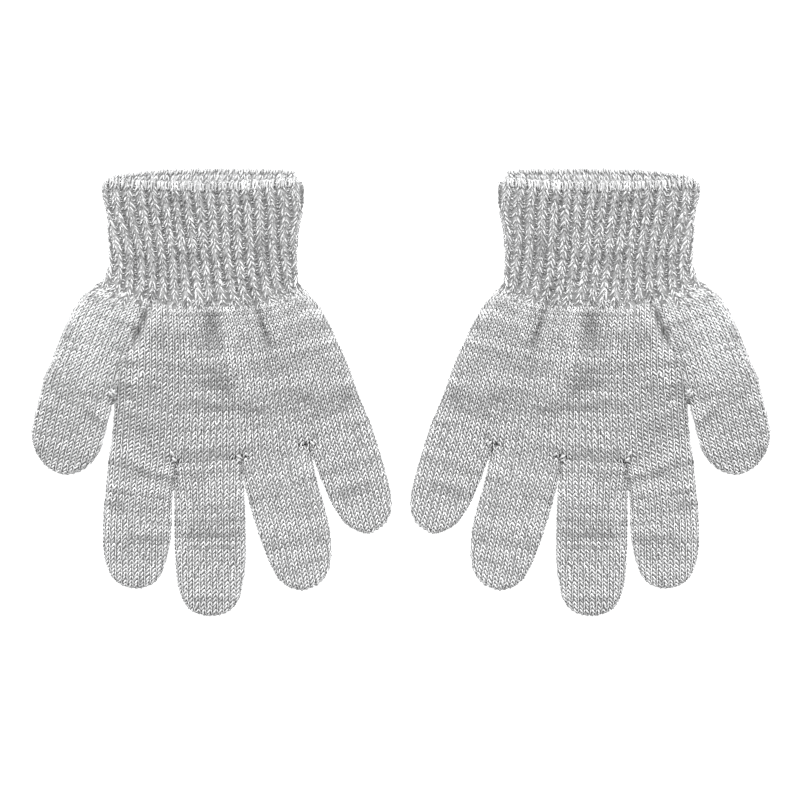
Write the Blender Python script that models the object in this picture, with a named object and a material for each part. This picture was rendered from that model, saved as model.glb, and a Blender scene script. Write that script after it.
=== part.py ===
"""A pair of child's knitted stretch gloves, laid flat with the cuffs away and the thumbs outward.

Each glove is eight knitted tubes that meet at seams: a ribbed cuff, the heel of the hand, the palm
below the four fingers, and five closed fingers. A section of a tube is a row across it: the two
side folds of the flattened tube and its height. Every tube lies with a plane underside on z = 0 and
has an outer and an inner wall, so the inside of the glove is one flat hollow from cuff to fingertips.

Rows are in millimetres in the glove's own plan: x across the hand from the thumb side, y towards the
cuff. A row on a seam is the same for the two tubes that meet there, and each keeps half of the seam's
gap clear. The left glove is that plan moved to x < 0, and the right glove is its mirror image.
"""
import math
from collections import namedtuple

import bpy
from mathutils import Vector

MM = 0.001

GLOVE_OFFSET = 62.2        # middle of the pair to the origin of each glove's plan
PLAN_RAISE = 0.55          # moves the plan so that the pair's middle is at y = 0
KNIT_WALL = 1.8            # thickness of the plain knitting
CUFF_WALL = 2.0            # thickness of the cuff between its ribs
RIB_RISE = 0.7             # how far a rib stands out of the cuff wall
RIB_COUNT = 20             # ribs over the upper layer of the cuff, both side folds included
RIB_SHAPE = (0.0, 0.6, 1.0, 0.6)   # one rib, valley to valley, as shares of its rise
FAR_RIM = 3.7              # how far the under layer of the cuff reaches past the upper one
SEAM_BOW = 5.7             # how far the cuff seam sags towards the fingers in the middle
SEAM_GAP = 0.3             # clearance between two tubes at a seam
CROWN = 0.35               # how much a tube is higher in the middle than beside its folds
FOLD_ANGLES = (0.0, 45.0, 90.0)    # steps round the upper half of a side fold
FINGER_COLUMNS = (0.25, 0.5, 0.75)  # columns across a finger between its folds

Row = namedtuple("Row", "left_x left_y right_x right_y height")
Band = namedtuple("Band", "left_x left_y right_x right_y height start_share end_share")
Crease = namedtuple("Crease", "across half_width depth from_row to_row")

# Cuff, mouth to seam. end_share is how far a row follows the sagging seam.
CUFF = (
    Band(-30.8, 65.9, 31.3, 65.9, 6.4, 0.0, 0.00),
    Band(-31.1, 62.6, 31.5, 62.6, 6.2, 0.0, 0.00),
    Band(-29.7, 56.5, 31.1, 56.5, 5.9, 0.0, 0.05),
    Band(-29.0, 49.5, 29.8, 49.5, 5.8, 0.0, 0.15),
    Band(-28.6, 42.5, 29.3, 42.5, 5.8, 0.0, 0.35),
    Band(-29.4, 37.6, 29.5, 37.2, 5.8, 0.0, 0.65),
    Band(-31.1, 34.4, 30.2, 33.3, 5.8, 0.0, 1.00),
)
CUFF_RIB_SHARES = (0.8, 1.0, 1.0, 1.0, 1.0, 0.8, 0.35)   # rise of the ribs at each cuff row

# Heel of the hand, cuff seam to the thumb line and palm line.
HEEL = (
    Band(-31.3, 34.4, 30.4, 33.3, 6.0, 1.00, 0.0),
    Band(-36.6, 30.9, 33.4, 30.7, 6.7, 0.80, 0.0),
    Band(-40.5, 25.6, 37.5, 25.6, 6.9, 0.50, 0.0),
    Band(-43.0, 20.3, 40.5, 20.0, 6.5, 0.25, 0.0),
    Band(-45.3, 14.8, 43.3, 14.2, 5.9, 0.10, 0.1),
    Band(-47.4, 9.6, 45.9, 8.2, 5.3, 0.00, 0.35),
    Band(-48.7, 6.6, 48.0, 2.3, 4.9, 0.00, 0.7),
    Band(-49.7, 4.5, 49.7, -2.9, 4.8, 0.00, 1.0),
)
THUMB_CROTCH = (-27.9, -3.5)
HEEL_COLUMNS = (0.09, 0.15, 0.20, 0.235, 0.27, 0.33, 0.41, 0.48,
                0.55, 0.60, 0.66, 0.71, 0.745, 0.785, 0.85, 0.91)
CROTCH_ACROSS = 0.235      # share of the way across the heel at which the thumb ends

# Creases and ridges where the wide heel is gathered into the narrow cuff, by heel row.
CREASES = (
    Crease(0.235, 0.045, -1.6, -0.6, 5.6),
    Crease(0.285, 0.060, 0.8, 0.4, 6.0),
    Crease(0.550, 0.065, -1.4, 0.2, 6.6),
    Crease(0.610, 0.045, 0.6, 0.2, 6.0),
    Crease(0.745, 0.040, -1.3, -0.8, 4.6),
    Crease(0.790, 0.045, 0.6, -0.2, 4.0),
)

# Palm below the four fingers, palm line to the line of the finger roots.
PALM = (
    Band(-27.6, -3.5, 49.8, -2.9, 4.8, 0.0, 0.00),
    Band(-27.8, -7.7, 51.0, -5.2, 4.7, 0.0, 0.35),
    Band(-28.2, -11.8, 51.9, -7.5, 4.6, 0.0, 0.70),
    Band(-28.6, -15.6, 53.1, -10.2, 4.6, 0.0, 1.00),
)
FINGER_ROOTS = ((-8.5, -22.9), (11.9, -21.4), (33.1, -17.0))
ROOTS_ACROSS = (0.252, 0.492, 0.745)
PALM_COLUMNS = (0.12, 0.185, 0.252, 0.33, 0.41, 0.492, 0.575, 0.66, 0.745, 0.82, 0.885)

THUMB = (
    Row(-49.7, 4.5, -28.2, -3.5, 4.8),
    Row(-51.2, -1.6, -28.6, -6.6, 4.7),
    Row(-52.6, -7.6, -29.8, -11.2, 4.6),
    Row(-53.7, -13.2, -30.9, -15.8, 4.5),
    Row(-52.7, -18.2, -32.3, -19.6, 4.4),
    Row(-50.7, -22.0, -34.8, -22.9, 4.4),
    Row(-47.6, -24.7, -38.0, -25.2, 4.4),
)
THUMB_TIP = (-42.9, -26.5)

INDEX = (
    Row(-28.6, -15.6, -8.65, -22.9, 4.6),
    Row(-29.8, -23.7, -9.0, -28.6, 4.6),
    Row(-30.7, -32.0, -9.3, -34.6, 4.5),
    Row(-31.4, -39.5, -9.5, -41.0, 4.5),
    Row(-31.4, -46.4, -9.8, -47.2, 4.4),
    Row(-30.8, -52.6, -11.1, -52.8, 4.4),
    Row(-29.2, -57.2, -12.6, -57.2, 4.4),
    Row(-27.1, -59.8, -14.4, -59.8, 4.4),
    Row(-24.2, -61.5, -17.2, -61.5, 4.4),
)
INDEX_TIP = (-20.7, -62.1)

MIDDLE = (
    Row(-8.35, -22.9, 11.75, -21.4, 4.6),
    Row(-8.6, -30.0, 13.0, -29.2, 4.6),
    Row(-8.9, -38.0, 13.5, -37.4, 4.5),
    Row(-8.9, -46.0, 13.8, -45.6, 4.5),
    Row(-8.5, -54.0, 13.7, -53.8, 4.4),
    Row(-7.9, -60.6, 13.0, -60.6, 4.4),
    Row(-6.5, -65.2, 11.7, -65.2, 4.4),
    Row(-4.4, -68.3, 9.5, -68.3, 4.4),
    Row(-1.1, -70.1, 6.4, -70.1, 4.4),
)
MIDDLE_TIP = (2.7, -70.7)

RING = (
    Row(12.05, -21.4, 32.95, -17.0, 4.6),
    Row(13.5, -28.6, 35.2, -24.2, 4.6),
    Row(14.9, -36.1, 37.3, -32.0, 4.5),
    Row(17.1, -43.8, 39.6, -40.0, 4.5),
    Row(19.8, -51.2, 40.5, -47.0, 4.4),
    Row(22.6, -57.4, 40.4, -53.4, 4.4),
    Row(25.3, -60.5, 39.3, -57.2, 4.4),
    Row(28.5, -62.2, 36.9, -60.3, 4.4),
)
RING_TIP = (32.4, -62.5)

LITTLE = (
    Row(33.25, -17.0, 53.1, -10.2, 4.6),
    Row(35.2, -22.4, 55.2, -16.6, 4.6),
    Row(37.5, -29.0, 57.2, -23.4, 4.5),
    Row(40.2, -35.0, 59.0, -30.2, 4.4),
    Row(43.2, -40.1, 59.4, -35.8, 4.4),
    Row(45.7, -42.5, 58.9, -39.0, 4.4),
    Row(48.9, -44.3, 57.0, -42.1, 4.4),
)
LITTLE_TIP = (52.6, -44.8)

# Melange yarn seen from a distance, as one flat colour per section.
CUFF_COLOUR = (0.50, 0.50, 0.51, 1.0)
HAND_COLOUR = (0.53, 0.53, 0.54, 1.0)
FINGER_COLOUR = (0.51, 0.51, 0.52, 1.0)


def clear_scene():
    for thing in list(bpy.data.objects):
        bpy.data.objects.remove(thing, do_unlink=True)


def smooth(value):
    """Ease from 0 to 1 as value goes from 0 to 1."""
    value = min(max(value, 0.0), 1.0)
    return value * value * (3.0 - 2.0 * value)


def along(points, shares, share):
    """The point at this share of the way along a line with corners at the given shares."""
    for k in range(len(points) - 1):
        if share <= shares[k + 1] or k == len(points) - 2:
            part = (share - shares[k]) / (shares[k + 1] - shares[k])
            return points[k].lerp(points[k + 1], part)
    return points[-1]


def sagging_seam(share):
    """Sag of the cuff seam, steep near the folds and level in the middle."""
    return Vector((0.0, -SEAM_BOW * (1.0 - abs(2.0 * share - 1.0) ** 3)))


class Plan:
    """Plan of a tube open at both ends: maps a row and a share of the way across it to a point."""

    def __init__(self, bands, start_line=None, end_line=None):
        self.bands = bands
        self.start_line = start_line
        self.end_line = end_line

    def row_ends(self, band):
        left = Vector((band.left_x, band.left_y))
        right = Vector((band.right_x, band.right_y))
        return left, right

    def point(self, band, share):
        left, right = self.row_ends(band)
        place = left.lerp(right, share)
        if self.start_line:
            place = place + self.start_line(share) * band.start_share
        if self.end_line:
            place = place + self.end_line(share) * band.end_share
        return place

    def width(self, band):
        left, right = self.row_ends(band)
        return (right - left).length


def cornered_end(bands, corners, shares):
    """How far the last row departs from straight so that it passes through the corners."""
    last = bands[-1]
    left = Vector((last.left_x, last.left_y))
    right = Vector((last.right_x, last.right_y))
    points = [left] + [Vector(c) for c in corners] + [right]
    marks = [0.0] + list(shares) + [1.0]
    return lambda share: along(points, marks, share) - left.lerp(right, share)


def fold_steps(radius, shell):
    """Inset from the side edge and share of the full half height, round a quarter of a fold."""
    steps = []
    for angle in FOLD_ANGLES:
        turn = math.radians(angle)
        steps.append((shell + radius * (1.0 - math.cos(turn)), math.sin(turn)))
    return steps


def no_relief(row_number, share):
    """A section whose upper layer has no creases."""
    return 0.0


def crease_relief(row_number, share):
    """Height that creases and ridges add to the upper layer of the heel."""
    relief = 0.0
    for crease in CREASES:
        off = abs(share - crease.across) / crease.half_width
        if off >= 1.0:
            continue
        across = 0.5 + 0.5 * math.cos(math.pi * off)
        length = (row_number - crease.from_row) / (crease.to_row - crease.from_row)
        if 0.0 < length < 1.0:
            relief += crease.depth * across * math.sin(math.pi * length) ** 0.7
    return relief


def crown(share):
    """How much higher the upper layer is here than beside its folds."""
    return CROWN * (1.0 - (2.0 * share - 1.0) ** 2)


def seam_shift(number, count):
    """Half the seam gap, away from the seam, on the first and last rows of a tube."""
    if number == 0:
        return -SEAM_GAP / 2.0
    if number == count - 1:
        return SEAM_GAP / 2.0
    return 0.0


def open_tube_ring(plan, number, columns, shell, relief):
    """One loop of a tube open at both ends, upper layer left to right, then back underneath."""
    band = plan.bands[number]
    middle = band.height / 2.0
    radius = middle - shell
    width = plan.width(band)
    steps = fold_steps(radius, shell)
    across = [(inset / width, level) for inset, level in steps]
    across.extend((column, 1.0) for column in columns)
    across.extend((1.0 - inset / width, level) for inset, level in reversed(steps))
    upper = []
    under = []
    for share, level in across:
        place = plan.point(band, share)
        y = place.y + seam_shift(number, len(plan.bands))
        lift = (crown(share) + relief(number, share)) * level
        upper.append((place.x, y, middle + radius * level + lift))
        under.append((place.x, y, middle - radius * level))
    return upper + under[-2:0:-1]


def bridge(faces, first, second, count):
    """Quads between two loops of equal count, split into triangles."""
    for k in range(count):
        after = (k + 1) % count
        faces.append((first + k, second + k, second + after))
        faces.append((first + k, second + after, first + after))


def open_tube(bands, columns, start_line, end_line, relief):
    """Points and faces of a double-walled tube open at both ends."""
    plan = Plan(bands, start_line, end_line)
    points = []
    outer = []
    inner = []
    for number in range(len(bands)):
        outer.append(len(points))
        points.extend(open_tube_ring(plan, number, columns, 0.0, relief))
    for number in range(len(bands)):
        inner.append(len(points))
        points.extend(open_tube_ring(plan, number, columns, KNIT_WALL, relief))
    count = outer[1] - outer[0]
    faces = []
    for k in range(len(bands) - 1):
        bridge(faces, outer[k], outer[k + 1], count)
        bridge(faces, inner[k + 1], inner[k], count)
    bridge(faces, inner[0], outer[0], count)
    bridge(faces, outer[-1], inner[-1], count)
    return points, faces


def outline_inward(rows, tip):
    """Inward direction at both side folds of every row, and at the tip."""
    left = [Vector((r.left_x, r.left_y)) for r in rows]
    right = [Vector((r.right_x, r.right_y)) for r in rows]
    end = Vector(tip)
    lefts = []
    rights = []
    for k in range(len(rows)):
        if k == 0:
            chord = (right[0] - left[0]).normalized()
            lefts.append(chord)
            rights.append(-chord)
            continue
        down = (left[k + 1] if k + 1 < len(rows) else end) - left[k - 1]
        lefts.append(Vector((-down.y, down.x)).normalized())
        down = (right[k + 1] if k + 1 < len(rows) else end) - right[k - 1]
        rights.append(Vector((down.y, -down.x)).normalized())
    across = right[-1] - left[-1]
    up = Vector((-across.y, across.x)).normalized()
    return left, right, end, lefts, rights, up


def finger_shell(rows, tip, shell, points):
    """Append one wall of a closed finger and return its loops and its three rings at the tip."""
    left, right, end, lefts, rights, up = outline_inward(rows, tip)
    loops = []
    for k, row in enumerate(rows):
        middle = row.height / 2.0
        radius = middle - shell
        steps = fold_steps(radius, shell)
        upper = []
        under = []
        across = [(left[k] + lefts[k] * inset, level) for inset, level in steps]
        inside_left = across[-1][0]
        back = [(right[k] + rights[k] * inset, level) for inset, level in reversed(steps)]
        inside_right = back[0][0]
        for share in FINGER_COLUMNS:
            across.append((inside_left.lerp(inside_right, share), 1.0))
        across.extend(back)
        for number, (place, level) in enumerate(across):
            lift = crown(number / (len(across) - 1.0)) * level
            y = place.y - (SEAM_GAP / 2.0 if k == 0 else 0.0)
            upper.append((place.x, y, middle + radius * level + lift))
            under.append((place.x, y, middle - radius * level))
        loops.append(len(points))
        points.extend(upper + under[-2:0:-1])
    middle = rows[-1].height / 2.0
    radius = middle - shell
    top_ring = []
    under_ring = []
    for inset, level in fold_steps(radius, shell):
        place = end + up * inset
        top_ring.append(len(points))
        points.append((place.x, place.y, middle + radius * level + 0.5 * CROWN * level))
        if level == 0.0:
            under_ring.append(top_ring[-1])
        else:
            under_ring.append(len(points))
            points.append((place.x, place.y, middle - radius * level))
    return loops, top_ring, under_ring


def close_tip(faces, loop, top_ring, under_ring, flip):
    """Close the end of a finger from its last loop to its tip."""
    steps = len(FOLD_ANGLES)
    top_count = 2 * steps + len(FINGER_COLUMNS)
    count = 2 * top_count - 2

    def add(a, b, c):
        faces.append((a, c, b) if flip else (a, b, c))

    def top(k):
        return loop + k

    def under(k):
        return loop + (count - k) % count

    for k in range(steps - 1):
        add(top(k), top_ring[k], top_ring[k + 1])
        add(top(k), top_ring[k + 1], top(k + 1))
        far = top_count - 1 - k
        add(top(far), top_ring[k + 1], top_ring[k])
        add(top(far), top(far - 1), top_ring[k + 1])
        add(under(k), under_ring[k + 1], under_ring[k])
        add(under(k), under(k + 1), under_ring[k + 1])
        add(under(far), under_ring[k], under_ring[k + 1])
        add(under(far), under_ring[k + 1], under(far - 1))
    for k in range(steps - 1, top_count - steps):
        add(top(k), top_ring[-1], top(k + 1))
        add(under(k), under(k + 1), under_ring[-1])


def finger(rows, tip):
    """Points and faces of a double-walled finger, open at its root and closed at its tip."""
    points = []
    faces = []
    outer, outer_top, outer_under = finger_shell(rows, tip, 0.0, points)
    inner, inner_top, inner_under = finger_shell(rows, tip, KNIT_WALL, points)
    count = outer[1] - outer[0]
    for k in range(len(rows) - 1):
        bridge(faces, outer[k], outer[k + 1], count)
        bridge(faces, inner[k + 1], inner[k], count)
    bridge(faces, inner[0], outer[0], count)
    close_tip(faces, outer[-1], outer_top, outer_under, False)
    close_tip(faces, inner[-1], inner_top, inner_under, True)
    return points, faces


def cuff_stations(band, width):
    """Stations round a cuff row: share across, height, outward direction, rib place, underside."""
    middle = band.height / 2.0
    low = math.radians(30.0)
    flat = width - 2.0 * middle
    turn_length = middle * (math.pi / 2.0 + low)
    ribbed = flat + 2.0 * turn_length
    steps = RIB_COUNT * len(RIB_SHAPE)
    stations = []
    for k in range(steps + 1):
        run = ribbed * k / steps
        if run < turn_length:
            angle = run / middle - low
            x = middle * (1.0 - math.cos(angle))
            stations.append((x, middle + middle * math.sin(angle), -math.cos(angle),
                             math.sin(angle), k, False))
        elif run > ribbed - turn_length:
            angle = (ribbed - run) / middle - low
            x = width - middle * (1.0 - math.cos(angle))
            stations.append((x, middle + middle * math.sin(angle), math.cos(angle),
                             math.sin(angle), k, False))
        else:
            x = middle + run - turn_length
            stations.append((x, 2.0 * middle, 0.0, 1.0, k, False))
    under_steps = 11
    for k in range(under_steps):
        x = width - middle - flat * k / (under_steps - 1.0)
        stations.append((x, 0.0, 0.0, -1.0, 0, True))
    return stations


def far_rim_share(share):
    """The under layer's reach past the upper one: it grows from the left, and drops at the right."""
    return smooth(share / 0.22) * smooth((1.0 - share) / 0.06)


def cuff_ring(plan, number, shell):
    band = plan.bands[number]
    width = plan.width(band)
    rise = RIB_RISE * CUFF_RIB_SHARES[number]
    ring = []
    for x, z, side, up, rib, underneath in cuff_stations(band, width):
        share = x / width
        lift = crown(share) if up > 0.99 else 0.0
        out = -shell
        if not underneath and shell == 0.0:
            fade = smooth((up + 0.5) / 0.8)
            out = rise * RIB_SHAPE[rib % len(RIB_SHAPE)] * fade
        place = plan.point(band, share)
        y = place.y
        if underneath:
            y += FAR_RIM * far_rim_share(share) * max(0.0, 1.0 - number / 2.0)
        if number == len(CUFF) - 1:
            y += SEAM_GAP / 2.0
        ring.append((place.x + side * out, y, z + up * out + lift))
    if shell:
        return ring[::len(RIB_SHAPE)]
    return ring


def cuff():
    """Points and faces of the cuff: ribs raised in the outer wall over a plain inside."""
    plan = Plan(CUFF, None, sagging_seam)
    points = []
    outer = []
    inner = []
    for number in range(len(CUFF)):
        outer.append(len(points))
        points.extend(cuff_ring(plan, number, 0.0))
    for number in range(len(CUFF)):
        inner.append(len(points))
        points.extend(cuff_ring(plan, number, CUFF_WALL))
    count = outer[1] - outer[0]
    inner_count = inner[1] - inner[0]
    group = count // inner_count
    faces = []
    for k in range(len(CUFF) - 1):
        bridge(faces, outer[k], outer[k + 1], count)
        bridge(faces, inner[k + 1], inner[k], inner_count)
    for mouth in (True, False):
        wide = outer[0] if mouth else outer[-1]
        narrow = inner[0] if mouth else inner[-1]
        for k in range(inner_count):
            after = (k + 1) % inner_count
            hub = narrow + k
            for step in range(group):
                a = wide + (k * group + step) % count
                b = wide + (k * group + step + 1) % count
                faces.append((hub, a, b) if mouth else (hub, b, a))
            a = wide + (after * group) % count
            b = narrow + after
            faces.append((hub, a, b) if mouth else (hub, b, a))
    return points, faces


def make_material(name, colour):
    material = bpy.data.materials.new(name)
    material.use_nodes = True
    shader = material.node_tree.nodes["Principled BSDF"]
    shader.inputs["Base Color"].default_value = colour
    shader.inputs["Roughness"].default_value = 0.9
    return material


def make_section(name, shape, colour, mirrored):
    """Make one knitted section of one glove as a mesh object with its own material."""
    points, faces = shape
    places = []
    for x, y, z in points:
        across = GLOVE_OFFSET - x if mirrored else x - GLOVE_OFFSET
        places.append((across * MM, (y + PLAN_RAISE) * MM, z * MM))
    if mirrored:
        faces = [(a, c, b) for a, b, c in faces]
    mesh = bpy.data.meshes.new(name)
    mesh.from_pydata(places, [], faces)
    mesh.update()
    thing = bpy.data.objects.new(name, mesh)
    thing.data.materials.append(make_material(name + "_yarn", colour))
    bpy.context.scene.collection.objects.link(thing)
    return thing


def main():
    clear_scene()
    thumb_and_palm_line = cornered_end(HEEL, (THUMB_CROTCH,), (CROTCH_ACROSS,))
    finger_root_line = cornered_end(PALM, FINGER_ROOTS, ROOTS_ACROSS)
    heel = open_tube(HEEL, HEEL_COLUMNS, sagging_seam, thumb_and_palm_line, crease_relief)
    palm = open_tube(PALM, PALM_COLUMNS, None, finger_root_line, no_relief)
    sections = (
        ("cuff", cuff(), CUFF_COLOUR),
        ("heel", heel, HAND_COLOUR),
        ("palm", palm, HAND_COLOUR),
        ("thumb", finger(THUMB, THUMB_TIP), FINGER_COLOUR),
        ("index", finger(INDEX, INDEX_TIP), FINGER_COLOUR),
        ("middle", finger(MIDDLE, MIDDLE_TIP), FINGER_COLOUR),
        ("ring", finger(RING, RING_TIP), FINGER_COLOUR),
        ("little", finger(LITTLE, LITTLE_TIP), FINGER_COLOUR),
    )
    for side, mirrored in (("left", False), ("right", True)):
        for name, shape, colour in sections:
            make_section(side + "_" + name, shape, colour, mirrored)


main()
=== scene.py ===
"""The looks of a pair of child's knitted stretch gloves in light grey melange yarn, laid flat.

Each section of a glove is two pieces: a double-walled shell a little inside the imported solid, and
the stitches of yarn that cover it. The stitches are laid out in wales, which run from the cuff to
the fingertips, and courses, which run across. A patch of wales and courses is flat cloth in the
glove's own plan, and surface() bends it round the side folds and over the creases.

Lengths are millimetres in the plan of the left glove: x across the hand from the thumb side, y
towards the cuff. The right glove is the mirror image of the left one.
"""
import math

import bpy
import numpy as np
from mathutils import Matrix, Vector


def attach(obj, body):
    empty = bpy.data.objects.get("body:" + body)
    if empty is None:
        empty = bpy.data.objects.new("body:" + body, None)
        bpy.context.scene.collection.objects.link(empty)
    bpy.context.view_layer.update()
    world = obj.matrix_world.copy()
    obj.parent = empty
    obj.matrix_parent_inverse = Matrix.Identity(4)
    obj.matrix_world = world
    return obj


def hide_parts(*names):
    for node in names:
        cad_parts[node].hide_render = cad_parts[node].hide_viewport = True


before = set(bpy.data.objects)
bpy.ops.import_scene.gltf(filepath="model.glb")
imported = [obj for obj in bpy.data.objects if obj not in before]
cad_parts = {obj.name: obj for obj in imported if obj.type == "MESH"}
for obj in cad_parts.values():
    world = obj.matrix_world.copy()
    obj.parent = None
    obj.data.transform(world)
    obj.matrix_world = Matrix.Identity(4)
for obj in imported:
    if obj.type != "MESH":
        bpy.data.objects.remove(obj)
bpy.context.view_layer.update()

MM = 0.001
QUARTER = math.pi / 2
GLOVE_OFFSET = 62.2  # middle of the pair to the origin of each glove's plan
PLAN_RAISE = 0.55  # the plan's shift along y in the frame
FLOOR_GAP = 0.01  # the least height of a point over the floor
SHELL_INSET = 0.60  # the shell lies this far inside the outside of the stitches
KNIT_WALL = 1.8
CUFF_WALL = 2
RIB_RISE = 0.55
FAR_RIM = 3.7  # how far the under layer of the cuff reaches past the upper one
MOUTH = 65.9  # y of the cuff's mouth at its sides
NEAR_RISE = 0.6  # how far the upper layer's edge lies past that at its ends
MOUTH_SAG = 1.8  # sag of the upper layer's edge in the middle of the mouth
CORNER_DROP = 0.9  # how far the ends of the mouth are rounded down
CORNER_SHARE = 0.045  # how much of the mouth is rounded at each end
MOUTH_CHANGE = (59, 5.5)  # y from which the cuff changes towards its mouth, and over how much
SEAM_BOW = 5.7  # sag of the cuff seam in the middle
SEAM_LEFT = (-31.2, 34.4)
SEAM_RIGHT = (30.3, 33.3)
CROWN = 0.35  # rise of the upper layer in the middle of each section
CROWN_REACH = 9  # how far from a side fold the crown is full

# Outline of each section: left x, left y, right x and right y of its rows.
ROWS = {
    "cuff": (
        (-31.2, 65.9, 31.6, 65.9), (-31.5, 62.6, 31.8, 62.6), (-30.1, 56.5, 31.3, 56.5),
        (-29.4, 49.5, 30.1, 49.5), (-29, 42.5, 29.6, 42.5), (-29.7, 37.6, 29.7, 37.2),
        (-31.2, 34.4, 30.3, 33.3),
    ),
    "heel": (
        (-31.2, 34.4, 30.3, 33.3), (-36.6, 30.9, 33.4, 30.7), (-40.5, 25.6, 37.5, 25.6),
        (-43, 20.3, 40.5, 20), (-45.3, 14.8, 43.3, 14.2), (-47.4, 9.6, 45.9, 8.2), (-48.7, 6.6, 48, 2.3),
        (-49.7, 4.5, 49.7, -2.9),
    ),
    "palm": (
        (-27.6, -3.5, 49.8, -2.9), (-27.8, -7.7, 51, -5.2), (-28.2, -11.8, 51.9, -7.5),
        (-28.6, -15.6, 53.1, -10.2),
    ),
    "thumb": (
        (-49.7, 4.5, -28, -3.5), (-51.2, -1.6, -28.6, -6.6), (-52.6, -7.6, -29.8, -11.2),
        (-53.7, -13.2, -30.9, -15.8), (-52.7, -18.2, -32.3, -19.6), (-50.7, -22, -34.8, -22.9),
        (-47.6, -24.7, -38, -25.2),
    ),
    "index": (
        (-28.6, -15.6, -8.2, -22.9), (-29.8, -23.7, -8.5, -28.6), (-30.7, -32, -9.3, -34.6),
        (-31.4, -39.5, -9.5, -41), (-31.4, -46.4, -9.8, -47.2), (-30.8, -52.6, -11.1, -52.8),
        (-29.2, -57.2, -12.6, -57.2), (-27.1, -59.8, -14.4, -59.8), (-24.2, -61.5, -17.2, -61.5),
    ),
    "middle": (
        (-8.8, -22.9, 12.2, -21.4), (-8.9, -30, 13.1, -29.2), (-8.9, -38, 13.5, -37.4),
        (-8.9, -46, 13.8, -45.6), (-8.5, -54, 13.7, -53.8), (-7.9, -60.6, 13, -60.6),
        (-6.5, -65.2, 11.7, -65.2), (-4.4, -68.3, 9.5, -68.3), (-1.1, -70.1, 6.4, -70.1),
    ),
    "ring": (
        (11.6, -21.4, 33.5, -17), (13, -28.6, 35.2, -24.2), (14.9, -36.1, 37.3, -32),
        (17.1, -43.8, 39.6, -40), (19.8, -51.2, 40.5, -47), (22.6, -57.4, 40.4, -53.4),
        (25.3, -60.5, 39.3, -57.2), (28.5, -62.2, 36.9, -60.3),
    ),
    "little": (
        (32.8, -17, 53.1, -10.2), (35, -22.4, 55.2, -16.6), (37.5, -29, 57.2, -23.4),
        (40.2, -35, 59, -30.2), (43.2, -40.1, 59.4, -35.8), (45.7, -42.5, 58.9, -39),
        (48.9, -44.3, 57, -42.1),
    ),
}
TIPS = {"thumb": (-42.9, -26.5), "index": (-20.7, -62.1), "middle": (2.7, -70.7),
        "ring": (32.4, -62.5), "little": (52.6, -44.8)}
FINGERS = tuple(TIPS)
SECTIONS = ("cuff", "heel", "palm") + FINGERS
THUMB_CROTCH = (-27.9, -3.5)
CROTCH_ACROSS = 0.235  # share of the way across the hand where the crotch of the thumb is
FINGER_ROOTS = ((-8.5, -22.9), (11.9, -21.4), (33.1, -17))
ROOT_SHARES = (0, 0.252, 0.492, 0.745, 1)  # ends of the finger roots across the palm
# The fold where the thumb's wales meet the hand's, from the cuff seam to the thumb crotch.
THUMB_FOLD = ((-17.3, 28.4), (-19.5, 21.4), (-22, 16.4), (-25.2, 8.4), THUMB_CROTCH)
# Height of the laid glove by distance from the cuff seam, towards the fingertips.
HEIGHTS = (
    (-32, 6.4), (-28, 6.2), (-20, 5.9), (-8, 5.8), (-1, 5.8), (0, 6), (3.5, 6.6), (8, 6.9), (14, 6.5),
    (19.5, 5.9), (25, 5.3), (29, 4.9), (33, 4.8), (45, 4.6), (65, 4.5), (85, 4.4), (110, 4.4),
)


def smooth_step(x):
    x = np.clip(x, 0, 1)
    return x * x * (3 - 2 * x)


def unit(vectors):
    return vectors / (np.linalg.norm(vectors, axis=-1, keepdims=True) + 1e-9)


def spline(points, steps):
    """Catmull-Rom curve through rows of numbers, with this many steps between two of them."""
    points = np.asarray(points, float)
    ends = np.vstack([2 * points[0] - points[1], points, 2 * points[-1] - points[-2]])
    run = np.arange(steps)[:, None] / steps
    out = []
    for k in range(len(points) - 1):
        a, b, c, d = ends[k:k + 4]
        out.append(0.5 * (2 * b + (c - a) * run + (2 * a - 5 * b + 4 * c - d) * run ** 2
                          + (3 * b - a - 3 * c + d) * run ** 3))
    return np.vstack(out + [points[-1:]])


def across_row(row, share):
    """Places at shares of the way across a row."""
    return row[..., :2] + (row[..., 2:4] - row[..., :2]) * share[..., None]


def between_rows(x, marks, rows):
    """The row of numbers at each x, where the rows given are at the marks."""
    return np.stack([np.interp(x, marks, column) for column in np.transpose(rows)], -1)


def bow(share, marks, corners):
    """How far a line with corners at the marks lies off the straight one between its ends."""
    straight = across_row(np.append(corners[0], corners[-1]), np.clip(share, 0, 1))
    return between_rows(share, marks, corners) - straight


# ---- outline and height

def lefts(name):
    return [row[:2] for row in ROWS[name]]


def rights(name):
    return [row[2:] for row in ROWS[name]][::-1]


# Folded edges of the glove, in order round it, with the cloth on the left hand side. They run on
# past the mouth, for the under layer's edge.
PAST_MOUTH = ((-30.7, 71), (31, 71))
AROUND = {name: lefts(name) + [TIPS[name]] + rights(name) for name in FINGERS}
AROUND["thumb"] = [PAST_MOUTH[0]] + lefts("cuff") + lefts("heel")[1:] + AROUND["thumb"][1:]
AROUND["index"] = lefts("palm") + AROUND["index"][1:]
AROUND["little"] = (AROUND["little"][:-1] + rights("palm") + rights("heel")[1:] + rights("cuff")[1:]
                    + [PAST_MOUTH[1]])
CHAINS = {name: spline(points, 6) for name, points in AROUND.items()}
CHAINS_OF = {name: (name,) for name in FINGERS}
CHAINS_OF["cuff"] = CHAINS_OF["heel"] = ("thumb", "little")
CHAINS_OF["palm"] = FINGERS[1:]
BATCH = 4096  # points looked up in one go, to spare memory


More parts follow.
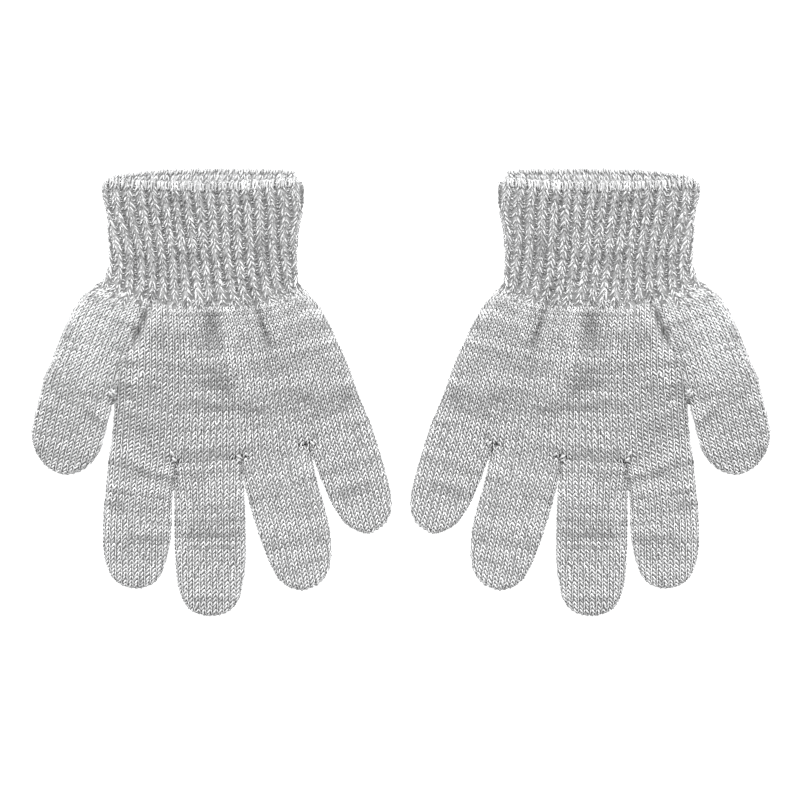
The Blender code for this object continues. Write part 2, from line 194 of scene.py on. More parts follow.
def nearest_on(line, points):
    """The nearest piece of a line to each point: its number, the share along it, the way from
    there to the point and how far that is."""
    run = line[1:] - line[:-1]
    found = []
    for low in range(0, max(len(points), 1), BATCH):
        off = points[low:low + BATCH, None] - line[None, :-1]
        t = np.clip((off * run).sum(2) / (run ** 2).sum(1), 0, 1)
        gap = off - t[..., None] * run
        size = (gap ** 2).sum(2)
        k = size.argmin(1)
        at = np.arange(len(k))
        found.append((k, t[at, k], gap[at, k], np.sqrt(size[at, k])))
    return [np.concatenate(column) for column in zip(*found)]


def nearest_fold(points, names):
    """Distance inside the nearest folded edge, its nearest point, and the way in from there."""
    best = np.full(len(points), np.inf)
    foot, inward = np.zeros_like(points), np.zeros_like(points)
    for chain in [CHAINS[name] for name in names]:
        k, t, gap, size = nearest_on(chain, points)
        run, off = chain[k + 1] - chain[k], points - chain[k]
        side = np.sign(run[:, 0] * off[:, 1] - run[:, 1] * off[:, 0])
        ended = ((k == 0) & (t == 0)) | ((k == len(chain) - 2) & (t == 1))
        side = np.where(ended | (side == 0), 1, side)
        closer = side * size < best
        best = np.where(closer, side * size, best)
        foot[closer] = (chain[k] + t[:, None] * run)[closer]
        normal = np.stack([-run[:, 1], run[:, 0]], 1) / np.sqrt((run ** 2).sum(1))[:, None]
        way = side[:, None] * gap / np.maximum(size, 1e-3)[:, None]
        inward[closer] = np.where(size[:, None] > 1e-3, way, normal)[closer]
    return best, foot, inward


def seam_y(x):
    """y of the cuff seam."""
    share = np.clip((x - SEAM_LEFT[0]) / (SEAM_RIGHT[0] - SEAM_LEFT[0]), 0, 1)
    chord = SEAM_LEFT[1] + share * (SEAM_RIGHT[1] - SEAM_LEFT[1])
    return chord - SEAM_BOW * (1 - np.abs(2 * share - 1) ** 3)


def below_seam(points):
    return np.maximum(seam_y(points[:, 0]) - points[:, 1], 0)


def base_height(points):
    return np.interp(seam_y(points[:, 0]) - points[:, 1], *np.transpose(HEIGHTS))


# Creases and ridges of the upper layer: points along it, half width, depth.
CREASES = (
    (((-12.8, 31.5), (-15.6, 27.2), (-17.4, 22.6), (-20, 16.6), (-24.2, 8.4)), 2.6, -1.4),
    (((-11, 28), (-14.6, 22.5), (-18.3, 14.5), (-22.4, 7.5)), 3.2, 1.1),
    (((1.8, 27.5), (2.9, 22.5), (3.2, 15), (3.8, 9)), 4.4, -1.4),
    (((7.2, 29), (8.2, 22), (9.6, 7), (11.5, 2)), 3, 1),
    (((14, 32), (15.8, 28.5), (18.1, 23.1), (19.7, 18.7), (21.4, 12.5)), 2.2, -1.4),
    (((19.5, 30.5), (23, 25.5), (26, 18)), 3, 1),
    (((-30.5, 32.5), (-34, 27.5), (-37, 20)), 2.6, -0.6),
    (((-8, 29), (-9, 22), (-10, 12)), 3.5, 0.4),
    (((27, 31), (31, 26), (34.5, 18)), 2.4, -0.6),
)
CREASED = (-4, 36)  # they all lie between these two y


def crease_relief(points):
    """Height that the creases and ridges add to the upper layer."""
    relief = np.zeros(len(points))
    near = np.flatnonzero((points[:, 1] > CREASED[0]) & (points[:, 1] < CREASED[1]))
    for corners, half_width, depth in CREASES:
        line = spline(corners, 5)
        k, t, _, gap = nearest_on(line, points[near])
        length = np.sqrt(((line[1:] - line[:-1]) ** 2).sum(1))
        before = np.concatenate([[0], np.cumsum(length)])
        along = (before[k] + t * length[k]) / before[-1]
        profile = 0.5 + 0.5 * np.cos(np.pi * np.clip(gap / half_width, 0, 1))
        relief[near] += depth * profile * np.sin(np.pi * along) ** 0.6
    return relief


# Where the valleys between the cuff's ribs run: y, then the x of each rib in RIB_MARKS.
RIB_MARKS = np.array([0, 1, 2, 4, 6, 8, 10, 12, 14, 15])
RIB_LINES = (
    (66.5, -29.2, -25.5, -21.4, -13.6, -6.7, 0.5, 8.3, 15.5, 22.8, 26.9),
    (62.2, -29.1, -25.3, -21.3, -13.4, -6.6, 0.6, 8.4, 15.6, 23.1, 27.2),
    (54.7, -27.8, -24.4, -20, -12.5, -5.9, 1.6, 9.1, 16.3, 24.1, 28.1),
    (47.2, -25.3, -21.6, -18.4, -11.6, -4.7, 2.2, 9.4, 16.6, 23.8, 27.2),
    (39.7, -24.1, -20.6, -17.2, -10.6, -4.1, 2.8, 10, 17.2, 24.4, 28.1),
    (32.2, -24.7, -20.9, -17.2, -10.3, -3.1, 3.8, 10.9, 18.1, 25.6, 28.8),
    (28.4, -26.3, -22.2, -17.5, -10.6, -2.5, 4.4, 12.2, 19.1, 27.8, 31.6),
    (22, -28.8, -24.1, -18.4, -10.9, -1.6, 5.9, 14.1, 21.6, 31.3, 35.6),
)
RIB_ROWS = spline(RIB_LINES, 6)[::-1]


def rib_valleys(y):
    """x of the marked ribs at each height."""
    return between_rows(y, RIB_ROWS[:, 0], RIB_ROWS[:, 1:])


def rib_x(rib, y):
    """x of places across the ribs at each height."""
    k = np.clip(np.searchsorted(RIB_MARKS, rib, "right") - 1, 0, len(RIB_MARKS) - 2)
    share = (rib - RIB_MARKS[k]) / (RIB_MARKS[k + 1] - RIB_MARKS[k])
    valleys = rib_valleys(y)
    first = np.take_along_axis(valleys, k[..., None], -1)[..., 0]
    after = np.take_along_axis(valleys, k[..., None] + 1, -1)[..., 0]
    return first + (after - first) * share


def rib_at(points):
    """Place across the ribs of each point: whole in the valleys."""
    valleys = rib_valleys(points[:, 1])
    k = np.clip((valleys < points[:, :1]).sum(1) - 1, 0, len(RIB_MARKS) - 2)
    at = np.arange(len(points))
    share = (points[:, 0] - valleys[at, k]) / (valleys[at, k + 1] - valleys[at, k])
    return RIB_MARKS[k] + share * (RIB_MARKS[k + 1] - RIB_MARKS[k])


def rib_wave(rib):
    """Rise of the cuff at a place across its ribs, from 0 in a valley to 1 on a crest."""
    return (0.5 - 0.5 * np.cos(2 * np.pi * rib)) ** 0.7


def mouth_share(y):
    """From 0 down in the cuff to 1 at its mouth."""
    return smooth_step((y - MOUTH_CHANGE[0]) / MOUTH_CHANGE[1])


def rib_run(rib):
    """How far each rib's own stitches run on below the cuff seam."""
    return 4.4 + 2 * value_noise(np.floor(rib + 0.04) * 0.55, np.zeros(np.shape(rib)), 17)


def rib_ripples(points):
    """Height of the ribs where they run out below the cuff seam."""
    rib, below = rib_at(points), below_seam(points)
    reach = 3 + 1.3 * rib_run(rib)
    height = RIB_RISE * rib_wave(rib) * np.exp(-(below / reach) ** 1.8)
    return np.where(below > 0, height, 0)


def rib_rise(points, under):
    """How far the ribs stand out, less near the mouth; below the seam rib_ripples() has them."""
    rise = RIB_RISE * rib_wave(rib_at(points)) * (1 - 0.5 * mouth_share(points[:, 1]))
    rise = np.where(below_seam(points) > 0, 0, rise)
    return rise - RIB_RISE if under else rise


def surface(points, names, under, lift):
    """Bend flat cloth round its folds.

    points are in the plan, as if the layer were flattened out from its side folds; lift is how far
    outside the glove's nominal surface each point lies. Returns places and outward directions.
    """
    radius = base_height(points) / 2
    inside, foot, inward = nearest_fold(points, names)
    turn = np.clip((inside + (QUARTER - 1) * radius) / radius, -QUARTER, QUARTER)
    level = -1 if under else 1
    folded = inside < radius
    cosine = np.where(folded, np.cos(turn), 0)
    sine = np.where(folded, np.sin(turn), 1)
    out = radius + lift
    plan = np.where(folded[:, None], foot + inward * (radius - out * cosine)[:, None], points)
    z = radius + level * out * sine
    if not under:
        crown = CROWN * smooth_step(np.maximum(inside - radius, 0) / CROWN_REACH)
        z += (crown + crease_relief(points) + rib_ripples(points)) * np.clip(sine, 0, 1)
    return np.column_stack([plan, z]), np.column_stack([-inward * cosine[:, None], level * sine])


# ---- melange yarn, and painted light and shade

NOISE_SIZE = 4096
NOISE_ROW_STEP = 977  # how far apart in the noise two rows start
DRIFTS = ((14, 1, 0.17), (19, 2, 0.15), (3.4, 1, 0.05))  # wales, courses, strength
CREASE_PAINTED_SHADE = 0.07  # painted shade in the creases: how much darker each mm of a crease's depth makes the yarn; each mm of a ridge's height paints it lighter
MOUTH_PAINTED_LIGHT = 0.16  # painted light on the rolled mouth, where it turns up to the light: how much lighter the yarn is there
STREAK_AND_SHADE_STRENGTH = 1.8  # how strong the listed streak lines and patches of painted light and shade are
SHADOW_PATCHES = 0.5  # how patchy the shadows are


def value_noise(x, row, seed):
    """Smooth noise from -1 to 1 along x, with its own run of values for each whole row."""
    values = np.random.default_rng(seed).uniform(-1, 1, NOISE_SIZE)
    cell = np.floor(x).astype(int)
    start = (row.astype(int) * NOISE_ROW_STEP) % NOISE_SIZE
    first = values[(cell + start) % NOISE_SIZE]
    second = values[(cell + 1 + start) % NOISE_SIZE]
    return first + (second - first) * smooth_step(x - cell)


def melange(wale, course, seed):
    """Shade of the yarn, as a share of its mean: it drifts slowly along each course."""
    return 1 + sum(strength * value_noise(wale / wales, np.floor(course / courses), seed + k)
                     for k, (wales, courses, strength) in enumerate(DRIFTS))


# Streak lines of darker and lighter yarn on the upper layer, and patches of painted light and shade on
# the flanks of its creases and folds: start x and y, end x and y and half width in tenths of a
# millimetre, and change of shade in hundredths.
STREAKS_AND_PAINTED_SHADE = (
    (-260, 13, -75, 13, 6, -15), (-265, -24, -210, -27, 9, -8), (0, 20, 80, 9, 14, -15),
    (12, -52, 170, -60, 11, -19), (170, -60, 326, -28, 11, -18), (355, -75, 430, -35, 30, -10),
    (96, 92, 146, 42, 26, 12), (230, 60, 355, 75, 24, -7), (360, 100, 435, 125, 7, 8),
    (-275, -219, -194, -237, 12, -15), (-194, -262, -96, -275, 11, -13),
    (-295, -360, -260, -364, 12, -8), (-210, -460, -130, -464, 14, -12), (-275, -156, -90, -189, 8, 11),
    (-300, -505, -220, -525, 20, 7), (-38, -458, 87, -458, 9, -20), (5, -486, 92, -489, 9, -20),
    (-6, -340, 85, -344, 16, -11), (-63, -530, 83, -536, 10, 7), (294, -398, 370, -384, 11, -14),
    (180, -339, 330, -310, 7, 9), (230, -446, 390, -420, 7, 9), (430, -315, 510, -290, 19, -14),
    (406, -210, 530, -175, 6, 8), (500, -358, 580, -334, 7, 9), (-410, 240, -270, 178, 30, 8),
    (-154, 250, -178, 125, 24, 17), (-210, 120, -204, 15, 20, 15), (-265, 215, -255, 120, 24, -9),
    (-380, 220, -355, 145, 30, 9), (-95, 245, -70, 90, 45, 3), (210, 246, 228, 206, 22, 9),
    (190, 5, 320, -10, 18, -8), (330, 100, 455, 95, 32, -8), (-130, -140, 170, -140, 36, 6),
    (-255, -95, -235, -155, 16, 9), (-286, -270, -292, -530, 18, 10), (-285, -450, -260, -500, 24, 7),
    (-120, -330, -126, -440, 22, -7), (-335, -10, -300, -50, 16, -6), (300, -175, 340, -180, 16, 7),
    (130, -218, 210, -214, 16, 6), (240, -253, 360, -253, 18, -5), (-52, -390, -52, -490, 18, 5),
    (245, -480, 335, -505, 32, 6), (425, -330, 460, -375, 18, 7), (-284, 620, -270, 370, 30, 10),
    (-145, 620, -55, 614, 16, 7), (-210, 315, -40, 290, 24, 5), (276, 580, 272, 420, 16, 5),
    (205, 500, 240, 400, 36, -5), (-180, 574, -10, 574, 24, -6), (170, 620, 250, 610, 24, -5),
    (74, 270, 88, 150, 19, 9), (-260, -8, -20, -11, 9, 7), (-40, -660, 90, -660, 16, 10),
    (-470, 12, -285, -26, 10, -10), (-444, -14, -356, -60, 9, -13), (-370, -64, -308, -110, 9, -13),
    (-265, -114, -155, -136, 15, -8), (-69, -202, 125, -198, 15, -7), (30, -98, 306, -92, 10, 6),
    (-34, 575, -4, 575, 13, -16), (-96, 419, -4, 419, 11, -15), (-270, 510, -190, 494, 15, -12),
    (106, 510, 146, 490, 20, -14), (185, 450, 230, 335, 14, -12), (-30, 500, 94, 475, 34, 8),
    (-300, 635, -155, 605, 26, 6), (130, 648, 305, 615, 26, 7), (-226, 135, -158, 80, 22, 9),
    (-15, -672, 65, -672, 22, 10), (285, -590, 365, -580, 20, 5),
)
# Dark lines deep in the creases and where two folds press on each other, in the same columns.
SHADOWS = (
    (-81, -235, -87, -285, 7, -18), (124, -225, 132, -265, 7, -14), (133, -234, 135, -238, 8, -30),
    (332, -174, 346, -210, 6, -12), (344, -140, 346, -143, 8, -30), (-274, -5, -279, -35, 7, -20),
    (-256, -26, -246, -28, 10, -12), (-162, 270, -180, 236, 11, -16), (-186, 228, -206, 194, 17, -25),
    (-200, 200, -226, 156, 17, -17), (-222, 140, -263, 63, 11, -10), (-263, 63, -269, -3, 9, -12),
    (28, 228, 27, 203, 21, -34), (27, 188, 34, 94, 26, -15), (56, 34, 72, 9, 20, -26),
    (166, 284, 188, 209, 8, -20), (191, 197, 200, 178, 14, -32), (206, 150, 213, 134, 14, -26),
)
LINE_UNITS = np.array([10, 10, 10, 10, 10, 100])


def near_lines(points, lines):
    """Sum of the changes of shade near lines, each fading across and at its ends."""
    total = np.zeros(len(points))
    for line in np.array(lines) / LINE_UNITS:
        run, off = line[2:4] - line[:2], points - line[:2]
        half_width, change = line[4:]
        length = np.linalg.norm(run)
        along = off @ run / length
        across = np.abs(off @ np.array([-run[1], run[0]])) / length
        past = np.maximum(np.maximum(-along, along - length), 0)
        total += change * np.exp(-(across / half_width) ** 2 - (past / (1.5 * half_width + 1)) ** 2)
    return total


def upper_tone(points):
    """Shade of the upper layer as a share of the yarn's own: streak lines in the yarn, patches of
    painted light and shade on the flanks of folds, painted shade in the creases, painted shadows, and
    painted light on the ridges and the rolled mouth.
    """
    x, y = points[:, 0], points[:, 1]
    # Painted shade in the creases and painted light on the ridges, by their depth and height.
    folds = 1 + CREASE_PAINTED_SHADE * np.clip(crease_relief(points), -2.2, 0.8)
    patchy = 1 + SHADOW_PATCHES * value_noise(x / 1.1 + y / 2.3, np.floor(y / 1.4) + 300, 31)
    streak_and_shade = 1 + STREAK_AND_SHADE_STRENGTH * near_lines(points, STREAKS_AND_PAINTED_SHADE)
    return streak_and_shade * (1 + near_lines(points, SHADOWS) * patchy) * (folds + MOUTH_PAINTED_LIGHT * mouth_share(y))


# ---- meshes

YARN_TINT = (0.992, 0.996, 1)


class Part:
    """Gathers points, faces and shades of one piece of a glove."""

    def __init__(self):
        self.points, self.faces, self.shades, self.count = [], {}, [], 0

    def add(self, points, faces, shades):
        for f in faces:
            self.faces.setdefault(f.shape[1], []).append(f + self.count)
        self.points.append(points)
        self.shades.append(shades)
        self.count += len(points)

    def make(self, name, mirrored, material):
        """The mesh object, moved from plan millimetres to frame metres, with a shade a point."""
        x, y, z = np.vstack(self.points).T
        x = GLOVE_OFFSET - x if mirrored else x - GLOVE_OFFSET
        points = np.column_stack([x, y + PLAN_RAISE, np.maximum(z, FLOOR_GAP)]) * MM
        faces = [np.vstack(f)[:, ::-1 if mirrored else 1] for f in self.faces.values()]
        sizes = np.concatenate([np.full(len(f), f.shape[1]) for f in faces])
        mesh = bpy.data.meshes.new(name)
        mesh.vertices.add(len(points))
        mesh.vertices.foreach_set("co", points.astype(np.float32).ravel())
        mesh.loops.add(sizes.sum())
        corners = np.concatenate([f.ravel() for f in faces])
        mesh.loops.foreach_set("vertex_index", corners.astype(np.int32))
        mesh.polygons.add(len(sizes))
        mesh.polygons.foreach_set("loop_start", (np.cumsum(sizes) - sizes).astype(np.int32))
        mesh.polygons.foreach_set("use_smooth", np.ones(len(sizes), bool))
        mesh.update(calc_edges=True)
        mesh.validate()
        # The shades are the yarn's melange together with its painted light and shade.
        colours = mesh.color_attributes.new("Melange_and_painted_shade", "FLOAT_COLOR", "POINT")
        tint = np.ones((len(points), 4), np.float32)
        tint[:, :3] = np.clip(np.concatenate(self.shades), 0, 1)[:, None] * np.array(YARN_TINT)
        colours.data.foreach_set("color", tint.ravel())
        mesh.materials.append(material)
        thing = bpy.data.objects.new(name, mesh)
        bpy.context.scene.collection.objects.link(thing)
        return thing


STRAND_FLATNESS = 0.75  # height of a strand as a share of its width
PAINTED_END_SHADE = 0.6  # painted shade on a strand's ends, where they sink into the cloth, as a share of its own shade
PAINTED_FLANK_SHADE = (0.80, 0.99)  # painted shade round a strand, for its roundness: its shade at the bottom and on top, as a share of its own
PAINTED_EDGE_SHADE = 0.84  # painted shade on strands that face sideways at the glove's side folds, as a share of their own
BOUNCE_SHADE = 0.20  # how much lighter the yarn is where it faces away from the lamp
GRAIN = 0.16  # spread of the shades within a strand
FLECK_SHARE = 0.12  # share of the yarn's points that are dark fibre
FIBRE_WIDTH = 0.022  # half the width of a loose fibre at its root
FIBRE_SHARES = (0.05, 0.9)  # share of the strands with one on top, and how many more at the folds
FIBRE_SPREAD = 0.55  # how far their directions differ from straight out
FIBRE_LENGTH = 0.55  # mean length
FIBRE_LENGTHS = (0.2, 1.8)  # the shortest and the longest
FIBRE_TONE = 1.05
PLAIN = [0, 1, 3, 4]  # the stations that the under layer keeps


def strands(centres, outward, widths, shades, chance, sides=4):
    """Closed strands of yarn, pointed at both ends. centres is strands by stations by 3.

    Their flanks and ends have painted shade, for their roundness and where they sink into the cloth, and
    they have flecks of dark fibre.
    """
    count, stations, _ = centres.shape
    along = unit(np.gradient(centres, axis=1))
    side = unit(np.cross(along, outward))
    up = np.cross(side, along)
    angles = 2 * np.pi * np.arange(sides) / sides + np.pi / 2
    wide = widths[:, 1:-1, None, None]
    ring = (centres[:, 1:-1, None] + side[:, 1:-1, None] * (np.cos(angles)[:, None] * wide)
            + up[:, 1:-1, None] * (STRAND_FLATNESS * np.sin(angles)[:, None] * wide))
    round_it = (stations - 2) * sides
    points = np.concatenate([ring.reshape(count, round_it, 3), centres[:, :1], centres[:, -1:]], axis=1)
    a = np.arange(sides)
    b = (a + 1) % sides
    first, last = np.full(sides, round_it), round_it - sides
    quads = [np.column_stack([low + a, low + b, low + sides + b, low + sides + a])
             for low in range(0, last, sides)]
    fans = np.hstack([np.column_stack([first, b, a]), np.column_stack([first + 1, last + a, last + b])])
    base = (np.arange(count) * (round_it + 2))[:, None, None]
    faces = [(base + np.vstack(quads)).reshape(-1, 4), (base + fans.reshape(-1, 3)).reshape(-1, 3)]

    # Painted shade round each strand and on its ends.
    low, high = PAINTED_FLANK_SHADE
    painted_flank = low + (high - low) * ((1 + np.sin(angles)) / 2) ** 0.7
    # Painted shade where the strands face sideways, and painted bounce light where they face away from
    # the lamp.
    side_on = 1 - (1 - PAINTED_EDGE_SHADE) * (1 - np.abs(outward[:, :, 2])) ** 0.7
    away = np.clip(0.3 * outward[:, :, 0] - outward[:, :, 1], 0, 1)
    shades = shades * side_on * (1 + BOUNCE_SHADE * away)
    rings = (shades[:, 1:-1, None] * painted_flank).reshape(count, round_it)
    shade = np.concatenate([rings, PAINTED_END_SHADE * shades[:, :1], PAINTED_END_SHADE * shades[:, -1:]], axis=1)
    shade *= 1 + chance.normal(0, GRAIN, shade.shape)
    fleck = chance.random(shade.shape) < FLECK_SHARE
    shade = np.where(fleck, shade * chance.uniform(0.45, 0.8, shade.shape), shade)
    return points.reshape(-1, 3), faces, shade.ravel()


def loose_strands(centres, outward, widths, shades, chance):
    """Strands that lie a little beside their places, each with a little more or less shade."""
    count = len(centres)
    side = unit(np.cross(np.gradient(centres, axis=1), outward))
    aside = chance.normal(0, 0.025, (count, 1, 1))
    lift = chance.normal(0, 0.05, (count, 1, 1))
    tone = shades * (1 + chance.normal(0, 0.05, (count, 1)))
    return strands(centres + side * aside + outward * lift, outward, widths, tone, chance)


def fibres(centres, outward, widths, shades, chance):
    """Fine fibres that stand off some of the strands, most of them at the glove's side folds."""
    middle = centres.shape[1] // 2
    side_on = 1 - np.abs(outward[:, middle, 2])
    chosen = chance.random(len(centres)) < FIBRE_SHARES[0] + FIBRE_SHARES[1] * side_on
    out = outward[chosen, middle]
    root = centres[chosen, middle] + out * (0.6 * widths[chosen, middle, None])
    count = len(root)
    way = out + chance.normal(0, FIBRE_SPREAD, (count, 3))
    way /= np.linalg.norm(way, axis=1, keepdims=True)
    tip = root + way * np.clip(chance.exponential(FIBRE_LENGTH, (count, 1)), *FIBRE_LENGTHS)
    tip[:, 2] = np.maximum(tip[:, 2], 0.1)
    side = np.cross(way, chance.normal(0, 1, (count, 3)))
    side *= FIBRE_WIDTH / (np.linalg.norm(side, axis=1, keepdims=True) + 1e-9)
    other = 0.87 * np.cross(way, side)
    points = np.stack([root + side, root - 0.5 * side + other, root - 0.5 * side - other, tip], 1)
    base = (np.arange(count) * 4)[:, None, None]
    faces = base + np.array([[0, 2, 1], [0, 1, 3], [1, 2, 3], [2, 0, 3]])
    shade = np.repeat(shades[chosen, middle], 4) * FIBRE_TONE
    return points.reshape(-1, 3), [faces.reshape(-1, 3)], shade


def lay(place, names, under, lift):
    """surface() for strands: place is strands by stations by 2, lift strands by stations."""
    centres, outward = surface(place.reshape(-1, 2), names, under, lift.ravel())
    return centres.reshape(lift.shape + (3,)), outward.reshape(lift.shape + (3,))


def add_yarn(part, centres, outward, width, tone, chance, plain_width=None):
    """Adds strands and their loose fibres. Where plain_width is given they are plainer and wider."""
    if plain_width:
        part.add(*strands(centres[:, PLAIN], outward[:, PLAIN], plain_width * width[:, PLAIN],
                          tone[:, PLAIN], chance))
    else:
        part.add(*loose_strands(centres, outward, width, tone, chance))
    part.add(*fibres(centres, outward, width, tone, chance))


# ---- patches of wales and courses

COURSE = 1.25  # height of one course in the fingers
HAND_COURSES = 40
HAND_WALES_ACROSS = 42
HAND_START = (-25.1, 30.9, 30.3, 33.3, 0)  # first row of the hand's wales
WALE_LEAN = 4  # how far the hand's wales lean at the start towards the little finger, in mm
START_POWER = 2.2  # how soon the hand's courses lose the bend of the cuff seam
BOW_POWER = 1.3  # how late the hand's courses bend towards the finger roots
FULL_WIDTH = 0.93  # a finger's wales run straight on from its last row that is this wide
WALE_ENDS = (5, 11, 18, 26)  # how far past that place they have further rows


class Patch:
    """A field of wales between a left and a right edge. Rows are left x, left y, right x, right y
    and course. first is the wale at its left edge. The hand's is bowed at both ends."""

    def __init__(self, rows, wales, first=0, bowed=False):
        dense = spline(rows, 12)
        dense = np.vstack([4 * dense[0] - 3 * dense[1], dense, 4 * dense[-1] - 3 * dense[-2]])
        self.rows, self.course = dense[:, :4], dense[:, 4]
        self.courses = rows[-1][4]
        self.wales, self.first, self.bowed = wales, first, bowed

    def point(self, wale, course):
        share = (wale - self.first) / self.wales
        place = across_row(between_rows(course, self.course, self.rows), share)
        if self.bowed:
            done = np.maximum(course / self.courses, 0)
            place += hand_start_bow(share, place, np.minimum(done, 1))
            place += hand_end_bow(share) * (done ** BOW_POWER)[..., None]
        return place


def finger_patch(name, wales, root_share):
    """The wales of a finger. At its root they meet the palm's wales, between the two root shares."""
    rows = np.array(ROWS[name])
    left, right = rows[:, :2], rows[:, 2:]
    widths = np.linalg.norm(right - left, axis=1)
    last = np.flatnonzero(widths > FULL_WIDTH * widths.max())[-1]
    middle = ((left + right) / 2)[:last + 1]
    across = ((right - left) / widths[:, None])[:last + 1]
    palm_wales = HAND_WALES_ACROSS * (root_share[1] - root_share[0])
    half = np.full(last + 1, widths.max() / 2)
    half[0] = widths[0] / palm_wales * wales / 2
    half[1] = 0.35 * half[0] + 0.65 * half[1]
    way = np.array(TIPS[name]) - middle[-1]
    way /= np.linalg.norm(way)
    for reach in WALE_ENDS:
        middle = np.vstack([middle, middle[last] + way * reach])
        across = np.vstack([across, [-way[1], way[0]]])
        half = np.append(half, half[last])
    run = np.concatenate([[0], np.cumsum(np.linalg.norm(np.diff(middle, axis=0), axis=1))])
    aside = across * half[:, None]
    centre = HAND_WALES_ACROSS * (root_share[0] + root_share[1]) / 2
    rows = np.column_stack([middle - aside, middle + aside, run / COURSE])
    return Patch(rows, wales, centre - wales / 2)


def hand_start_bow(share, place, done):
    """Bends the first courses along the cuff seam, and the wales towards the little finger."""
    left_y, right_y = HAND_START[1], HAND_START[3]
    sag = seam_y(place[..., 0]) - (left_y + (right_y - left_y) * share)
    aside = WALE_LEAN * np.sin(np.pi * np.clip(share, 0, 1)) * (1 - done ** 2)
    return np.stack([aside, sag * (1 - done) ** START_POWER], -1)


def hand_end_bow(share):
    """Bends the last courses down to the finger roots."""
    row = ROWS["palm"][-1]
    return bow(share, ROOT_SHARES, (row[:2],) + FINGER_ROOTS + (row[2:],))


HAND_WALES = Patch((
    HAND_START, (-25.5, 27.6, 33, 31, 2.8), (-26, 23, 36.1, 27.3, 6.7),
    (-26.6, 14.4, 40.7, 19.6, 14.1), (-27.2, 4.9, 45, 10.3, 22.3), (-27.8, -4.5, 48.4, 1, 30.3),
    (-28.6, -15.6, 53.1, -10.2, 40),
), HAND_WALES_ACROSS, bowed=True)
THUMB_WALES = Patch((
    (-31.2, 34.4, -17.5, 28.6, 0), (-36.6, 30.9, -18.4, 25.4, 4.2), (-40.5, 25.6, -19.9, 21, 8.9),
    (-43.4, 19.3, -21.9, 16.5, 13.8), (-47, 10.5, -25.2, 8.4, 21.4), (-49.7, 4.5, -27.4, 0.2, 27.2),
    (-51.8, -4, -29, -8.5, 34.4), (-54, -13, -31.4, -17.5, 42), (-57.4, -26.5, -34.8, -31, 53.4),
), 12.5)
WALES_ACROSS = {"index": 12, "middle": 12.2, "ring": 12.2, "little": 11.2}
FINGER_WALES = {name: finger_patch(name, wales, ROOT_SHARES[k:k + 2])
                for k, (name, wales) in enumerate(WALES_ACROSS.items())}

# A stitch in its cell: x across the wale, y towards the cuff, lift out of the cloth in mm.
SLANT_LEG = ((-0.08, -0.32, -0.84), (0.06, 0.02, -0.36), (0.27, 0.48, -0.17),
             (0.46, 0.92, -0.24), (0.56, 1.24, -0.8))
STEEP_LEG = ((0.64, 1.22, -0.84), (0.71, 0.92, -0.42), (0.77, 0.5, -0.33),
             (0.8, 0.06, -0.42), (0.85, -0.26, -0.84))
LEGS = ((SLANT_LEG, 0.25), (STEEP_LEG, 0.18))
SPINDLE = np.array([0, 0.88, 1.06, 0.92, 0])  # widths of a strand at its stations
YARN_SHADE = 0.765
FIRST_COURSE_PAINTED_SHADE = 0.97  # painted shade on the hand's first courses, where they pass under the ribs
# Painted light: how much lighter the thumb's and fingers' yarn is, for the light that these narrow parts
# catch at their sides from the floor.
SECTION_PAINTED_LIGHT = {"thumb": 1.19, "index": 1.20, "middle": 1.17, "ring": 1.19, "little": 1.18}
# Spread of the stitches across and along their wale, and of their tilt, lift, width and shade.
HAND_SPREAD = (0.04, 0.03, 0.06, 0.045, 0.10, 0.07)
UNDER_RAISE = 0.25  # the under layer's yarn is pressed this far into the cloth by the floor
UNDER_WIDTH = 1.9  # the under layer's strands are plain, and this much wider
FOLD_OVERLAP = 0.3  # how far the thumb's and the hand's stitches run past their common fold
ROOT_OVERLAP = 0.35  # how far a finger's stitches run up past its root, as a share of its width


def stitches(part, patch, names, cells, under, seed):
    """Both legs of every stitch in the given cells."""
    wale, course = cells.T.astype(float)
    count = len(cells)
    chance = np.random.default_rng(seed)
    shade = melange(wale + (patch.wales + 3 if under else 0), course, seed)
    if not under:
        shade = shade * upper_tone(patch.point(wale + 0.5, course + 0.5))
    shade = shade * SECTION_PAINTED_LIGHT.get(names[0] if len(names) == 1 else "hand", 1)
    if patch is HAND_WALES:
        shade = shade * (FIRST_COURSE_PAINTED_SHADE + (1 - FIRST_COURSE_PAINTED_SHADE) * smooth_step(course / 4))
    across, along, turn, height, girth, tint = HAND_SPREAD
    for leg, half_width in LEGS:
        leg_x, leg_y, leg_lift = np.array(leg).T
        sway = chance.normal(0, across, (count, 1))
        tilt = chance.normal(0, turn, (count, 1))
        x = leg_x + sway + tilt * (leg_y - 0.5)
        y = leg_y + chance.normal(0, along, (count, 1))
        place = patch.point(wale[:, None] + x, course[:, None] + 1 - y)
        lift = leg_lift + chance.normal(0, height, (count, 1)) - (UNDER_RAISE if under else 0)
        centres, outward = lay(place, names, under, lift)
        width = half_width * SPINDLE * (1 + chance.normal(0, girth, (count, 1)))
        tone = YARN_SHADE * shade[:, None] * (1 + chance.normal(0, tint, x.shape))
        add_yarn(part, centres, outward, width, tone, chance, UNDER_WIDTH if under else None)


def patch_cells(first_wale, last_wale, courses):
    wale, course = np.meshgrid(np.arange(first_wale, last_wale), np.arange(courses))
    return np.column_stack([wale.ravel(), course.ravel()])


def covered(point, names, cells, under):
    """The cells whose middles lie on this layer of the cloth, and those middles."""
    middle = point(cells[:, 0] + 0.5, cells[:, 1] + 0.5)
    inside, _, _ = nearest_fold(middle, names)
    radius = base_height(middle) / 2
    limit = (QUARTER / 2) * radius * (1 if under else -1)
    keep = inside + (QUARTER - 1) * radius >= limit
    return cells[keep], middle[keep]


